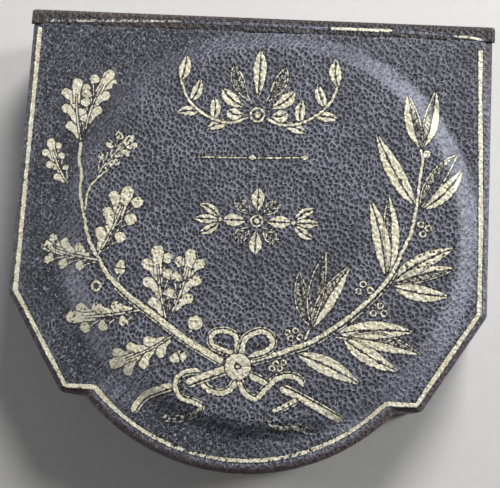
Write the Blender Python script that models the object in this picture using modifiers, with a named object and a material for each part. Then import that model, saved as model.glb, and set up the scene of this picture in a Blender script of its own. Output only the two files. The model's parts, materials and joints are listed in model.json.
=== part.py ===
"""Leather covered presentation case for one round medal.

The case lies on its back sheet with its hinges towards +Y and its push button
towards -Y. The origin is on the resting face, under the middle of the width.
All lengths are in metres, +Z is up.
"""

import math

import bmesh
import bpy
from mathutils import Matrix, Vector

MM = 0.001

# Clearances
GAP = 0.3 * MM
RUN = 0.1 * MM
OVERRUN = 2.0 * MM
TINY = 0.001 * MM

# Medal, and the rings that stand round it
MEDAL_RADIUS = 31.5 * MM
MEDAL_PLAY = 0.5 * MM
RING_WALL = 1.8 * MM
COLLAR_WALL = 1.0 * MM
COLLAR_PLAY = 0.6 * MM
ROUND_X = 3.5 * MM
ROUND_Y = 1.0 * MM

# Skins
LEATHER = 0.5 * MM
SHEET = 0.4 * MM
TURN_IN = 2.0 * MM
EDGE_ROUND = 1.3 * MM
CORNER_ROUND = 1.8 * MM
SKIN_FOOT = 0.2 * MM

# Wooden walls, at their thinnest
SIDE_WALL = 3.8 * MM
BACK_WALL = 4.8 * MM
POCKET_WALL = 0.7 * MM
BASE_FLOOR = 3.2 * MM
LID_WOOD = 2.4 * MM

# Heights
BASE_HEIGHT = 9.4 * MM
PARTING = 0.4 * MM
LID_HEIGHT = 9.2 * MM
DOME_RISE = 2.0 * MM
DOME_SLOPE = 4.0 * MM
COLLAR_STAND = 2.6 * MM
RING_DROP = 0.2 * MM
FLOOR_PAD = 1.2 * MM

# Outline, as shares of the half width and of the reach to the front
SHOULDER_Y_SHARE = 0.296
STEP_X_SHARE = 0.742
STEP_Y_SHARE = 0.709
LOBE_CENTRE_SHARE = 0.12
STEP_SLOPE = 0.03

# Lid lining
HOOP_WALL = 0.8 * MM
PAD_EDGE = 3.0 * MM
PAD_CROWN = 3.5 * MM
PAD_SEAM_INSET = 0.8 * MM
PAD_FULLNESS = 2.5

# Leather strip over the back
SPINE_LAP = 3.0 * MM
SPINE_OVERHANG = 0.3 * MM

# Hinges
HINGE_WEB = 0.5 * MM
HINGE_LENGTH = 12.0 * MM
HINGE_SET_IN = 1.2 * MM
KNUCKLE_RADIUS = 1.1 * MM
KNUCKLE_SHARES = (0.0, 0.32, 0.68, 1.0)
KNUCKLE_PLAY = 0.1 * MM
PIN_RADIUS = 0.5 * MM
LEAF = 0.5 * MM
LEAF_DEPTH = 5.4 * MM
BEVEL_ANGLE = 60.0
NAIL_HEAD = 0.75 * MM
NAIL_SHANK = 0.35 * MM
NAIL_CONE = 0.35 * MM
NAIL_LENGTH = 3.0 * MM
NAIL_SHARE = 0.3

# Push button and its bush
BUSH_LENGTH = 2.5 * MM
BUSH_FLANGE = 2.9 * MM
BUSH_BARREL = 2.3 * MM
BUSH_BORE = 1.75 * MM
BUSH_END_WALL = 0.4 * MM
BUSH_PROUD = 0.2 * MM
BUTTON_PROUD = 0.7 * MM
BUTTON_HEAD = 0.9 * MM
BUTTON_CROWN = 0.4 * MM
BUTTON_TRAVEL = 0.9 * MM
STEM_RADIUS = 0.7 * MM
TENON_RADIUS = 0.4 * MM
RIVET_RADIUS = 0.8 * MM
RIVET_HEAD = 0.35 * MM
SPRING_RADIUS = 1.2 * MM
SPRING_WIRE = 0.1 * MM
SPRING_TURNS = 2.25

# Catch
TONGUE_SET_IN = 1.2 * MM
TONGUE = 0.8 * MM
TONGUE_WIDTH = 4.4 * MM
TONGUE_BAR = 0.7 * MM
TONGUE_CLEAR = 0.4 * MM
WINDOW_WIDTH = 3.0 * MM
WINDOW_HEIGHT = 1.5 * MM
STEM_CLEAR = 0.5 * MM
BOLT_WALL = 0.8 * MM
BOLT_WIDTH = 3.2 * MM
BOLT_FOOT = 1.1 * MM
LIP_REACH = 0.5 * MM
LIP_WIDTH = 2.4 * MM
LIP_HEIGHT = 0.7 * MM
POCKET_REAR = 0.45 * MM
POCKET_SIDE = 0.7 * MM
PLATE = 0.6 * MM
PLATE_LENGTH = 11.0 * MM
PLATE_FRONT = 1.5 * MM
SCREW_HEAD = 0.8 * MM
SCREW_SHANK = 0.4 * MM
SCREW_CONE = 0.4 * MM
SCREW_LENGTH = 3.2 * MM
SCREW_EDGE = 1.2 * MM
SCREW_SLOT = 0.25 * MM
SCREW_SLOT_DEPTH = 0.2 * MM

# Lift ribbon
RIBBON = 0.3 * MM
RIBBON_WIDTH = 10.0 * MM
RIBBON_START = 6.0 * MM
RIBBON_BEND = 1.2 * MM
RIBBON_CURL = 1.6 * MM
RIBBON_TAB = 3.0 * MM
RIBBON_TURN = 110.0

# Smoothness
ROUND_STEPS = 72
PAD_STEPS = 48
SMALL_STEPS = 24
NAIL_STEPS = 12
WIRE_STEPS = 12
LOBE_STEPS = 24
CORNER_STEPS = 4
PROFILE_STEPS = 6
MERGE = 0.01 * MM
FLAT_ANGLE = 0.5
SHARP_ANGLE = 35.0

# Rings, from the medal outwards
WELL_RADIUS = MEDAL_RADIUS + MEDAL_PLAY
RING_RADIUS = WELL_RADIUS + RING_WALL
COLLAR_INNER = RING_RADIUS + GAP
COLLAR_OUTER = COLLAR_INNER + COLLAR_WALL
CAVITY_RADIUS = COLLAR_OUTER + GAP
LID_CAVITY_RADIUS = COLLAR_OUTER + COLLAR_PLAY
HOOP_OUTER = LID_CAVITY_RADIUS - GAP
HOOP_INNER = HOOP_OUTER - HOOP_WALL
PAD_RADIUS = HOOP_INNER - GAP

# Depth of the front wall, from the stack of clasp pieces inside it
SKIN = LEATHER + GAP
BUSH_INNER = BUSH_LENGTH + 2 * RUN
TONGUE_FRONT = BUSH_INNER + TONGUE_SET_IN
TONGUE_REAR = TONGUE_FRONT + TONGUE
BOLT_FRONT = TONGUE_REAR + TONGUE_CLEAR
BOLT_REAR = BOLT_FRONT + BOLT_WALL
POCKET_END = BOLT_REAR + RIVET_HEAD + BUTTON_TRAVEL + POCKET_REAR

# Outer faces of the leather
HALF_WIDTH = ROUND_X + CAVITY_RADIUS + SIDE_WALL + SKIN
BACK_Y = ROUND_Y + CAVITY_RADIUS + BACK_WALL + SKIN
FRONT_Y = ROUND_Y - CAVITY_RADIUS - POCKET_WALL - POCKET_END
WOOD_BACK_Y = BACK_Y - SKIN

# The raised round, whose foot meets the lap of the back strip
DOME_FOOT_RADIUS = BACK_Y - SPINE_LAP - ROUND_Y
DOME_TOP_RADIUS = DOME_FOOT_RADIUS - DOME_SLOPE

# Levels
WOOD_BOTTOM = SHEET + GAP
BASE_TOP = BASE_HEIGHT
BASE_WOOD_TOP = BASE_TOP - SHEET - GAP
CAVITY_FLOOR = WOOD_BOTTOM + BASE_FLOOR
LID_BOTTOM = BASE_TOP + PARTING
LID_WOOD_BOTTOM = LID_BOTTOM + SHEET + GAP
LID_TOP = LID_BOTTOM + LID_HEIGHT
LID_CAVITY_TOP = LID_TOP + DOME_RISE - SKIN - LID_WOOD
COLLAR_TOP = BASE_TOP + COLLAR_STAND
RING_TOP = BASE_TOP - RING_DROP
FLOOR_TOP = CAVITY_FLOOR + GAP + FLOOR_PAD

# Hinge line and the button's axis
AXIS_Y = WOOD_BACK_Y - HINGE_SET_IN
AXIS_Z = BASE_TOP + PARTING / 2
LEAF_REACH = AXIS_Y - LEAF_DEPTH - GAP - HINGE_WEB - ROUND_Y
LEAF_INNER = ROUND_X + math.sqrt(LID_CAVITY_RADIUS**2 - LEAF_REACH**2)
HINGE_X = LEAF_INNER + GAP + HINGE_LENGTH / 2
BUTTON_Z = (WOOD_BOTTOM + BASE_WOOD_TOP) / 2
TONGUE_LOW = BUTTON_Z + STEM_RADIUS + STEM_CLEAR
WINDOW_LOW = TONGUE_LOW + TONGUE_BAR
LIP_LOW = WINDOW_LOW + GAP

# Frames: one that stands a YZ outline up along X, one that points out of the front
ACROSS = Matrix(((0, 0, 1, 0), (1, 0, 0, 0), (0, 1, 0, 0), (0, 0, 0, 1)))
OUT_OF_FRONT = Matrix.Translation((0, FRONT_Y, BUTTON_Z)) @ Matrix.Rotation(math.pi / 2, 4, "X")
FLIPPED = Matrix.Rotation(math.pi, 4, "X")
OVER_ROUND = Matrix.Translation((ROUND_X, ROUND_Y, 0))


def clear_scene():
    """Remove every object, so that the script can be run again."""
    for thing in list(bpy.data.objects):
        bpy.data.objects.remove(thing)
    for group in list(bpy.data.collections):
        bpy.data.collections.remove(group)


def new_group(name):
    group = bpy.data.collections.new(name)
    bpy.context.scene.collection.children.link(group)
    return group


def finish(name, colour, roughness, metallic=0.0):
    """A Principled material in one colour."""
    material = bpy.data.materials.new(name)
    material.use_nodes = True
    shader = material.node_tree.nodes["Principled BSDF"]
    shader.inputs["Base Color"].default_value = (*colour, 1.0)
    shader.inputs["Roughness"].default_value = roughness
    shader.inputs["Metallic"].default_value = metallic
    material.diffuse_color = (*colour, 1.0)
    return material


def add(name, mesh, material, place=None):
    """Put a mesh in the scene as a sub-part, or as a cutter if it has no material."""
    thing = bpy.data.objects.new(name, mesh)
    thing.matrix_world = place or Matrix.Identity(4)
    if material is None:
        CUTTERS.objects.link(thing)
        thing.hide_render = True
        thing.display_type = "WIRE"
    else:
        CASE.objects.link(thing)
        mesh.materials.append(material)
    return thing


def flat_mesh(name, outline, depth):
    """A closed slab from an outline in the XY plane, centred on z = 0."""
    curve = bpy.data.curves.new(name, "CURVE")
    curve.dimensions = "2D"
    curve.fill_mode = "BOTH"
    curve.extrude = depth / 2
    spline = curve.splines.new("POLY")
    spline.points.add(len(outline) - 1)
    for point, (x, y) in zip(spline.points, outline):
        point.co = (x, y, 0, 1)
    spline.use_cyclic_u = True
    holder = bpy.data.objects.new(name + "_outline", curve)
    bpy.context.scene.collection.objects.link(holder)
    bpy.context.view_layer.update()
    seen = holder.evaluated_get(bpy.context.evaluated_depsgraph_get())
    mesh = bpy.data.meshes.new_from_object(seen)
    bpy.data.objects.remove(holder)
    shape = bmesh.new()
    shape.from_mesh(mesh)
    bmesh.ops.remove_doubles(shape, verts=shape.verts, dist=TINY)
    flat = math.radians(FLAT_ANGLE)
    bmesh.ops.dissolve_limit(shape, angle_limit=flat, verts=shape.verts, edges=shape.edges)
    bmesh.ops.recalc_face_normals(shape, faces=shape.faces)
    shape.to_mesh(mesh)
    shape.free()
    mesh.name = name
    return mesh


def slab(name, outline, low, high, material=None, frame=None, edge=0.0):
    """A slab between two levels of a frame, its upper edge rounded if an edge radius is given."""
    mesh = flat_mesh(name, outline, high - low)
    if edge > 0.0:
        round_top_edge(mesh, (high - low) / 2, edge)
    place = (frame or Matrix.Identity(4)) @ Matrix.Translation((0, 0, (low + high) / 2))
    return add(name, mesh, material, place)


def round_top_edge(mesh, level, radius):
    shape = bmesh.new()
    shape.from_mesh(mesh)
    rim = [e for e in shape.edges if all(abs(v.co.z - level) < TINY for v in e.verts)]
    bmesh.ops.bevel(shape, geom=rim, offset=radius, segments=3, profile=0.5, affect="EDGES")
    shape.to_mesh(mesh)
    shape.free()


def box(name, low, high, material=None):
    """A box between two opposite corners."""
    size = Vector(high) - Vector(low)
    shape = bmesh.new()
    bmesh.ops.create_cube(shape, size=1.0)
    bmesh.ops.scale(shape, vec=size, verts=shape.verts)
    mesh = bpy.data.meshes.new(name)
    shape.to_mesh(mesh)
    shape.free()
    middle = (Vector(high) + Vector(low)) / 2
    return add(name, mesh, material, Matrix.Translation(middle))


def rod(name, radius, start, end, material=None, steps=SMALL_STEPS):
    """A round bar between two points."""
    run = Vector(end) - Vector(start)
    shape = bmesh.new()
    bmesh.ops.create_cone(
        shape, cap_ends=True, segments=steps, radius1=radius, radius2=radius, depth=run.length
    )
    mesh = bpy.data.meshes.new(name)
    shape.to_mesh(mesh)
    shape.free()
    turn = run.to_track_quat("Z", "Y").to_matrix().to_4x4()
    thing = add(name, mesh, material, Matrix.Translation((Vector(start) + Vector(end)) / 2) @ turn)
    smooth(thing)
    return thing


def turned(name, profile, place, material=None, steps=ROUND_STEPS, ring=False):
    """A turned body. The profile is (radius, height) pairs that run down the outer side."""
    mesh = bpy.data.meshes.new(name)
    count = len(profile)
    edges = [(i, i + 1) for i in range(count - 1)]
    if ring:
        edges.append((count - 1, 0))
    mesh.from_pydata([(r, 0, h) for r, h in profile], edges, [])
    thing = add(name, mesh, material, place)
    screw = thing.modifiers.new("turn", "SCREW")
    screw.steps = steps
    screw.render_steps = steps
    screw.use_merge_vertices = True
    screw.merge_threshold = MERGE
    screw.use_smooth_shade = True
    weld = thing.modifiers.new("close poles", "WELD")
    weld.merge_threshold = MERGE
    return thing


def smooth(thing):
    thing.data.shade_smooth()
    thing.data.set_sharp_from_angle(angle=math.radians(SHARP_ANGLE))


def combine(target, tool, operation):
    modifier = target.modifiers.new(operation.lower() + " " + tool.name, "BOOLEAN")
    modifier.operation = operation
    modifier.solver = "EXACT"
    modifier.object = tool


def cut(target, *tools):
    for tool in tools:
        combine(target, tool, "DIFFERENCE")


def join(target, *tools):
    for tool in tools:
        combine(target, tool, "UNION")


def rounded_corner(before, corner, after, radius):
    """The points of an arc that replaces one corner of an outline."""
    to_before = (Vector(before) - Vector(corner)).normalized()
    to_after = (Vector(after) - Vector(corner)).normalized()
    half = to_before.angle(to_after) / 2
    middle = Vector(corner) + (to_before + to_after).normalized() * (radius / math.sin(half))
    first = Vector(corner) + to_before * (radius / math.tan(half)) - middle
    last = Vector(corner) + to_after * (radius / math.tan(half)) - middle
    points = []
    for step in range(CORNER_STEPS + 1):
        ray = first.slerp(last, step / CORNER_STEPS)
        points.append(tuple(middle + ray.normalized() * radius))
    return points


def crossing(normal, level, other, other_level):
    """Where two lines meet, each given by its normal and its distance along it."""
    turn = normal.x * other.y - normal.y * other.x
    x = (level * other.y - normal.y * other_level) / turn
    y = (normal.x * other_level - level * other.x) / turn
    return Vector((x, y))


def case_outline(inset, back_inset=None):
    """The outline of the case seen from above, moved inwards, counter-clockwise from the right rear.

    Straight sides run down to two shoulders, slanting edges to two small steps,
    and a round lobe closes the front.
    """
    back = BACK_Y - (inset if back_inset is None else back_inset)
    reach = -FRONT_Y
    shoulder = Vector((HALF_WIDTH, -reach * SHOULDER_Y_SHARE))
    step = Vector((HALF_WIDTH * STEP_X_SHARE, -reach * STEP_Y_SHARE))
    slant = (step - shoulder).normalized()
    slant_out = Vector((-slant.y, slant.x))
    ledge = Vector((-1.0, -STEP_SLOPE)).normalized()
    ledge_out = Vector((-ledge.y, ledge.x))
    slant_level = slant_out.dot(shoulder) - inset
    ledge_level = ledge_out.dot(step) - inset
    right = crossing(Vector((1.0, 0.0)), HALF_WIDTH - inset, slant_out, slant_level)
    step_right = crossing(slant_out, slant_level, ledge_out, ledge_level)

    lobe_centre = Vector((0.0, -reach * LOBE_CENTRE_SHARE))
    lobe_radius = reach + lobe_centre.y - inset
    away = ledge_level - ledge_out.dot(lobe_centre)
    along = math.sqrt(lobe_radius**2 - away**2)
    inner_right = ledge_out * away - ledge * along
    end = math.atan2(inner_right.y, inner_right.x)
    start = -math.pi - end
    lobe = []
    for i in range(LOBE_STEPS + 1):
        angle = start + (end - start) * i / LOBE_STEPS
        spoke = Vector((math.cos(angle), math.sin(angle)))
        lobe.append(tuple(lobe_centre + spoke * lobe_radius))

    radius = CORNER_ROUND - min(inset, EDGE_ROUND) / 2
    rear_right = Vector((HALF_WIDTH - inset, back))
    rear_left = Vector((-rear_right.x, back))
    left = Vector((-right.x, right.y))
    step_left = Vector((-step_right.x, step_right.y))
    points = rounded_corner(right, rear_right, rear_left, radius)
    points += rounded_corner(rear_right, rear_left, left, radius)
    points += rounded_corner(rear_left, left, step_left, radius)
    points += rounded_corner(left, step_left, lobe[0], radius)
    points += lobe
    points += rounded_corner(lobe[-1], step_right, right, radius)
    points += rounded_corner(step_right, right, rear_right, radius)
    return points


def dome_profile(inset):
    """Profile of the raised round: flat on top, an S-shaped slope, and a root inside the lid."""
    top = LID_TOP + DOME_RISE - inset
    foot = LID_TOP - inset
    points = [(0, top)]
    for i in range(PROFILE_STEPS + 1):
        share = i / PROFILE_STEPS
        fall = share * share * (3 - 2 * share)
        points.append((DOME_TOP_RADIUS + DOME_SLOPE * share, top - (DOME_RISE + RUN) * fall))
    points.append((DOME_FOOT_RADIUS, foot - LEATHER))
    points.append((0, foot - LEATHER))
    return points


def lid_form(name, inset, low, material=None):
    """The lid's solid form, moved inwards: a slab on the case outline with the raised round on it."""
    edge = EDGE_ROUND - inset
    form = slab(name, case_outline(inset), low, LID_TOP - inset, material, edge=edge)
    join(form, turned(name + "_round", dome_profile(inset), OVER_ROUND))
    return form


def ring_profile(inner, outer, low, high):
    return [(inner, high), (outer, high), (outer, low), (inner, low)]


def disc_profile(radius, low, high):
    return [(0, high), (radius, high), (radius, low), (0, low)]


def fastener_profile(head, shank, cone, length, extra=0.0, rise=0.0):
    """Countersunk head at height 0 and a pointed shank below; extra widens it into its own hole."""
    points = [(0, rise), (head + extra, rise)]
    if rise > 0.0:
        points.append((head + extra, 0))
    points.append((shank + extra, -cone))
    points.append((shank + extra, -length + shank - extra))
    points.append((0, -length - extra))
    return points


def make_shared_cutters():
    """Spaces that pass through several pieces."""
    half = HALF_WIDTH + OVERRUN
    reach = HINGE_SET_IN + SKIN + OVERRUN
    rise = reach * math.tan(math.radians(BEVEL_ANGLE))
    wedge = [(AXIS_Y, AXIS_Z), (AXIS_Y + reach, AXIS_Z - rise), (AXIS_Y + reach, AXIS_Z + rise)]
    tools = {"back_bevel": slab("cut_back_bevel", wedge, -half, half, frame=ACROSS)}
    low = (-half, WOOD_BACK_Y, -OVERRUN)
    high = (half, BACK_Y + OVERRUN, LID_TOP + DOME_RISE + OVERRUN)
    tools["back_skin"] = box("cut_back_skin", low, high)
    groove = KNUCKLE_RADIUS + GAP
    for side, x in (("left", -HINGE_X), ("right", HINGE_X)):
        start, end = x - HINGE_LENGTH / 2 - GAP, x + HINGE_LENGTH / 2 + GAP
        tools["groove_" + side] = rod(
            "cut_groove_" + side, groove, (start, AXIS_Y, AXIS_Z), (end, AXIS_Y, AXIS_Z)
        )
        low = (start, AXIS_Y - LEAF_DEPTH - GAP, BASE_TOP - LEAF - GAP)
        high = (end, AXIS_Y, LID_BOTTOM + LEAF + GAP)
        tools["leaf_bed_" + side] = box("cut_leaf_bed_" + side, low, high)
    half = PLATE_LENGTH / 2 + GAP
    front = FRONT_Y + TONGUE_FRONT - PLATE_FRONT - GAP
    rear = FRONT_Y + POCKET_END + RUN
    low = (-half, front, BASE_TOP - PLATE - GAP)
    high = (half, rear, LID_BOTTOM + PLATE + GAP)
    tools["plate_bed"] = box("cut_plate_bed", low, high)
    half = TONGUE_WIDTH / 2 + POCKET_SIDE
    low = (-half, FRONT_Y + BUSH_INNER, BUTTON_Z - BOLT_FOOT - TONGUE_CLEAR)
    high = (half, FRONT_Y + POCKET_END, BASE_TOP - PLATE)
    tools["pocket"] = box("cut_pocket", low, high)
    profile = disc_profile(BUSH_BARREL + RUN, -BUSH_LENGTH - OVERRUN / 2, OVERRUN)
    tools["bush_bore"] = turned("cut_bush_bore", profile, OUT_OF_FRONT, steps=SMALL_STEPS)
    profile = disc_profile(BUSH_FLANGE + RUN * 2, -SKIN + RUN, OVERRUN)
    tools["bush_seat"] = turned("cut_bush_seat", profile, OUT_OF_FRONT, steps=SMALL_STEPS)
    return tools


def hinge_cutters():
    return [TOOLS[part + side] for part in ("groove_", "leaf_bed_") for side in ("left", "right")]


def build_base():
    """The lower half: wooden block, leather, sheets, collar, ring and floor pad."""
    shell = slab("base_shell", case_outline(SKIN), WOOD_BOTTOM, BASE_WOOD_TOP, WOOD)
    profile = disc_profile(CAVITY_RADIUS, CAVITY_FLOOR, BASE_TOP + OVERRUN)
    recess = turned("cut_base_recess", profile, OVER_ROUND)
    cut(shell, recess, TOOLS["back_bevel"], *hinge_cutters())
    cut(shell, TOOLS["plate_bed"], TOOLS["pocket"], TOOLS["bush_bore"])

    skin = slab("base_leather", case_outline(0.0), SKIN_FOOT, BASE_TOP, LEATHER_DARK)
    inner = slab("cut_base_skin", case_outline(LEATHER), -OVERRUN, BASE_TOP - SHEET)
    mouth = slab(
        "cut_base_turn_in", case_outline(TURN_IN, -OVERRUN), -OVERRUN, BASE_TOP + OVERRUN
    )
    cut(skin, inner, mouth, TOOLS["back_skin"], TOOLS["back_bevel"], TOOLS["plate_bed"])
    cut(skin, TOOLS["bush_seat"])

    slab("base_bottom_sheet", case_outline(SKIN, SKIN + LEATHER), 0.0, SHEET, PAPER)

    facing_outline = case_outline(TURN_IN + GAP, SKIN)
    facing = slab("base_rim_facing", facing_outline, BASE_TOP - SHEET, BASE_TOP, VELVET)
    profile = disc_profile(CAVITY_RADIUS, 0.0, BASE_TOP + OVERRUN)
    cut(facing, turned("cut_base_facing", profile, OVER_ROUND), TOOLS["back_bevel"])
    cut(facing, *hinge_cutters(), TOOLS["plate_bed"])

    foot = CAVITY_FLOOR + GAP
    soft = COLLAR_WALL / 4
    profile = [
        (COLLAR_INNER + soft, COLLAR_TOP),
        (COLLAR_OUTER - soft, COLLAR_TOP),
        (COLLAR_OUTER, COLLAR_TOP - soft),
        (COLLAR_OUTER, foot),
        (COLLAR_INNER, foot),
        (COLLAR_INNER, COLLAR_TOP - soft),
    ]
    turned("collar_hoop", profile, OVER_ROUND, GILT, ring=True)
    soft = RING_WALL / 3
    profile = [
        (WELL_RADIUS + soft, RING_TOP),
        (RING_RADIUS - soft, RING_TOP),
        (RING_RADIUS, RING_TOP - soft),
        (RING_RADIUS, foot),
        (WELL_RADIUS, foot),
        (WELL_RADIUS, RING_TOP - soft),
    ]
    turned("well_ring", profile, OVER_ROUND, VELVET, ring=True)
    profile = disc_profile(WELL_RADIUS - GAP, foot, FLOOR_TOP)
    turned("well_floor_pad", profile, OVER_ROUND, VELVET)


def arc(centre, radius, start, end, steps):
    """Points of an arc, between two angles in degrees."""
    points = []
    for i in range(steps + 1):
        angle = math.radians(start + (end - start) * i / steps)
        points.append((centre[0] + radius * math.cos(angle), centre[1] + radius * math.sin(angle)))
    return points


def build_ribbon():
    """A silk ribbon: flat on the well's floor, up the rear wall, its free tab curled back over."""
    level = FLOOR_TOP + GAP + RIBBON / 2
    wall = ROUND_Y + WELL_RADIUS - GAP - RIBBON / 2 - RUN
    route = [(ROUND_Y - WELL_RADIUS + RIBBON_START, level), (ROUND_Y, level)]
    route += arc((wall - RIBBON_BEND, level + RIBBON_BEND), RIBBON_BEND, -90, 0, CORNER_STEPS)
    curl = (wall - RIBBON_CURL, RING_TOP - RIBBON_CURL / 2)
    route += arc(curl, RIBBON_CURL, 0, RIBBON_TURN, PROFILE_STEPS)
    last = Vector(route[-1])
    heading = (last - Vector(route[-2])).normalized()
    route.append(tuple(last + heading * RIBBON_TAB))
    shape = bmesh.new()
    half = RIBBON_WIDTH / 2
    verts = [shape.verts.new((ROUND_X - half, y, z)) for y, z in route]
    edges = [shape.edges.new(pair) for pair in zip(verts, verts[1:])]
    grown = bmesh.ops.extrude_edge_only(shape, edges=edges)
    moved = [item for item in grown["geom"] if isinstance(item, bmesh.types.BMVert)]
    bmesh.ops.translate(shape, verts=moved, vec=(RIBBON_WIDTH, 0, 0))
    mesh = bpy.data.meshes.new("lift_ribbon")
    shape.to_mesh(mesh)
    shape.free()
    ribbon = add("lift_ribbon", mesh, SILK)
    thicken = ribbon.modifiers.new("thickness", "SOLIDIFY")
    thicken.thickness = RIBBON
    thicken.offset = 0.0


def build_lid():
    """The upper half: wooden block, leather, facing, hoop and pad."""
    shell = lid_form("lid_shell", SKIN, LID_WOOD_BOTTOM, WOOD)
    profile = disc_profile(LID_CAVITY_RADIUS, LID_BOTTOM - OVERRUN, LID_CAVITY_TOP)
    recess = turned("cut_lid_recess", profile, OVER_ROUND)
    cut(shell, recess, TOOLS["back_bevel"], *hinge_cutters(), TOOLS["plate_bed"])

    skin = lid_form("lid_leather", 0.0, LID_BOTTOM, LEATHER_DARK)
    inner = lid_form("cut_lid_skin", LEATHER, LID_BOTTOM + SHEET)
    mouth = slab(
        "cut_lid_turn_in", case_outline(TURN_IN, -OVERRUN), LID_BOTTOM - OVERRUN, LID_WOOD_BOTTOM
    )
    half = HALF_WIDTH + OVERRUN
    lap = box(
        "cut_spine_lap",
        (-half, BACK_Y - SPINE_LAP - GAP, LID_TOP - SKIN),
        (half, BACK_Y + OVERRUN, LID_TOP + OVERRUN),
    )
    cut(skin, inner, mouth, TOOLS["back_skin"], TOOLS["back_bevel"], TOOLS["plate_bed"], lap)

    facing_outline = case_outline(TURN_IN + GAP, SKIN)
    facing = slab("lid_rim_facing", facing_outline, LID_BOTTOM, LID_BOTTOM + SHEET, PAPER_DARK)
    profile = disc_profile(LID_CAVITY_RADIUS, LID_BOTTOM - OVERRUN, LID_WOOD_BOTTOM)
    cut(facing, turned("cut_lid_facing", profile, OVER_ROUND), TOOLS["back_bevel"])
    cut(facing, *hinge_cutters(), TOOLS["plate_bed"])

    top = LID_CAVITY_TOP - GAP
    profile = ring_profile(HOOP_INNER, HOOP_OUTER, COLLAR_TOP + PARTING, top)
    turned("lid_lining_hoop", profile, OVER_ROUND, SATIN, ring=True)

    seam = top - PAD_EDGE
    seam_radius = PAD_RADIUS - PAD_SEAM_INSET
    profile = [(0, top), (seam_radius, top), (PAD_RADIUS, (top + seam) / 2), (seam_radius, seam)]
    for i in range(1, PROFILE_STEPS + 1):
        share = math.cos(math.pi / 2 * i / PROFILE_STEPS)
        profile.append((seam_radius * share, seam - PAD_CROWN * (1 - share**PAD_FULLNESS)))
    profile[-1] = (0, seam - PAD_CROWN)
    turned("lid_satin_pad", profile, OVER_ROUND, SATIN, steps=PAD_STEPS)


def build_spine_strip():
    """The leather strip that laps over the lid's rear edge and runs down over the hinge gap."""
    outer, inner = EDGE_ROUND, EDGE_ROUND - LEATHER
    top, back = LID_TOP, BACK_Y
    corner = (back - outer, top - outer)
    outline = [(back - SPINE_LAP, top - LEATHER), (back - SPINE_LAP, top)]
    outline += arc(corner, outer, 90, 0, CORNER_STEPS)
    outline += [(back, SKIN_FOOT), (back - LEATHER, SKIN_FOOT)]
    outline += arc(corner, inner, 0, 90, CORNER_STEPS)
    half = HALF_WIDTH + SPINE_OVERHANG
    slab("spine_strip", outline[::-1], -half, half, LEATHER_DARK, ACROSS)


def build_hinge(side, x):
    """One butt hinge: two leaves with their knuckles, the pin and four countersunk nails."""
    stops = [x + HINGE_LENGTH * (share - 0.5) for share in KNUCKLE_SHARES]
    spans = list(zip(stops, stops[1:]))
    bore = rod(
        "cut_hinge_bore_" + side,
        PIN_RADIUS + RUN,
        (stops[0] - OVERRUN, AXIS_Y, AXIS_Z),
        (stops[-1] + OVERRUN, AXIS_Y, AXIS_Z),
    )
    leaves = (
        ("base", BASE_TOP - LEAF, (spans[0], spans[2]), Matrix.Identity(4), BASE_TOP),
        ("lid", LID_BOTTOM, (spans[1],), FLIPPED, LID_BOTTOM),
    )
    for half, low, own_spans, turn, head_level in leaves:
        name = f"hinge_leaf_{half}_{side}"
        edge = AXIS_Y - KNUCKLE_RADIUS - GAP
        leaf = box(
            name,
            (stops[0], AXIS_Y - LEAF_DEPTH, low),
            (stops[-1], edge, low + LEAF),
            BRASS,
        )
        for number, (start, end) in enumerate(own_spans, 1):
            start, end = start + KNUCKLE_PLAY, end - KNUCKLE_PLAY
            tag = f"{half}_{side}_{number}"
            middle = AXIS_Y - (KNUCKLE_RADIUS + PIN_RADIUS + RUN) / 2
            tab = box(
                "add_tab_" + tag,
                (start, edge - LEAF, low + TINY),
                (end, middle, low + LEAF - TINY),
            )
            knuckle = rod(
                "add_knuckle_" + tag,
                KNUCKLE_RADIUS,
                (start, AXIS_Y, AXIS_Z),
                (end, AXIS_Y, AXIS_Z),
            )
            join(leaf, tab, knuckle)
        cut(leaf, bore)
        y = AXIS_Y - (LEAF_DEPTH + KNUCKLE_RADIUS) / 2
        for number, share in ((1, -NAIL_SHARE), (2, NAIL_SHARE)):
            place = Matrix.Translation((x + HINGE_LENGTH * share, y, head_level)) @ turn
            tag = f"{half}_{side}_{number}"
            sizes = (NAIL_HEAD, NAIL_SHANK, NAIL_CONE, NAIL_LENGTH)
            profile = fastener_profile(*sizes)
            turned("hinge_nail_" + tag, profile, place, BRASS, steps=NAIL_STEPS)
            profile = fastener_profile(*sizes, extra=RUN, rise=PARTING / 4)
            hole = turned("cut_nail_" + tag, profile, place, steps=NAIL_STEPS)
            cut(leaf, hole)
            cut(bpy.data.objects[half + "_shell"], hole)
    rod(
        "hinge_pin_" + side,
        PIN_RADIUS,
        (stops[0], AXIS_Y, AXIS_Z),
        (stops[-1], AXIS_Y, AXIS_Z),
        STEEL,
    )


def plate_screws(plate, shell, name, level, turn):
    """Two countersunk screws through a plate into the wood behind it."""
    y = FRONT_Y + (TONGUE_FRONT - PLATE_FRONT + POCKET_END) / 2
    for side, sign in (("left", -1), ("right", 1)):
        x = sign * (PLATE_LENGTH / 2 - SCREW_EDGE)
        place = Matrix.Translation((x, y, level)) @ turn
        sizes = (SCREW_HEAD, SCREW_SHANK, SCREW_CONE, SCREW_LENGTH)
        tag = f"{name}_{side}"
        screw = turned(tag, fastener_profile(*sizes), place, BRASS, steps=NAIL_STEPS)
        wide = SCREW_HEAD + RUN
        slot = box(
            "cut_slot_" + tag,
            (x - wide, y - SCREW_SLOT / 2, level - SCREW_SLOT_DEPTH),
            (x + wide, y + SCREW_SLOT / 2, level + SCREW_SLOT_DEPTH),
        )
        cut(screw, slot)
        profile = fastener_profile(*sizes, extra=RUN, rise=PARTING / 4)
        hole = turned("cut_hole_" + tag, profile, place, steps=NAIL_STEPS)
        cut(plate, hole)
        cut(bpy.data.objects[shell], hole)


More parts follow.
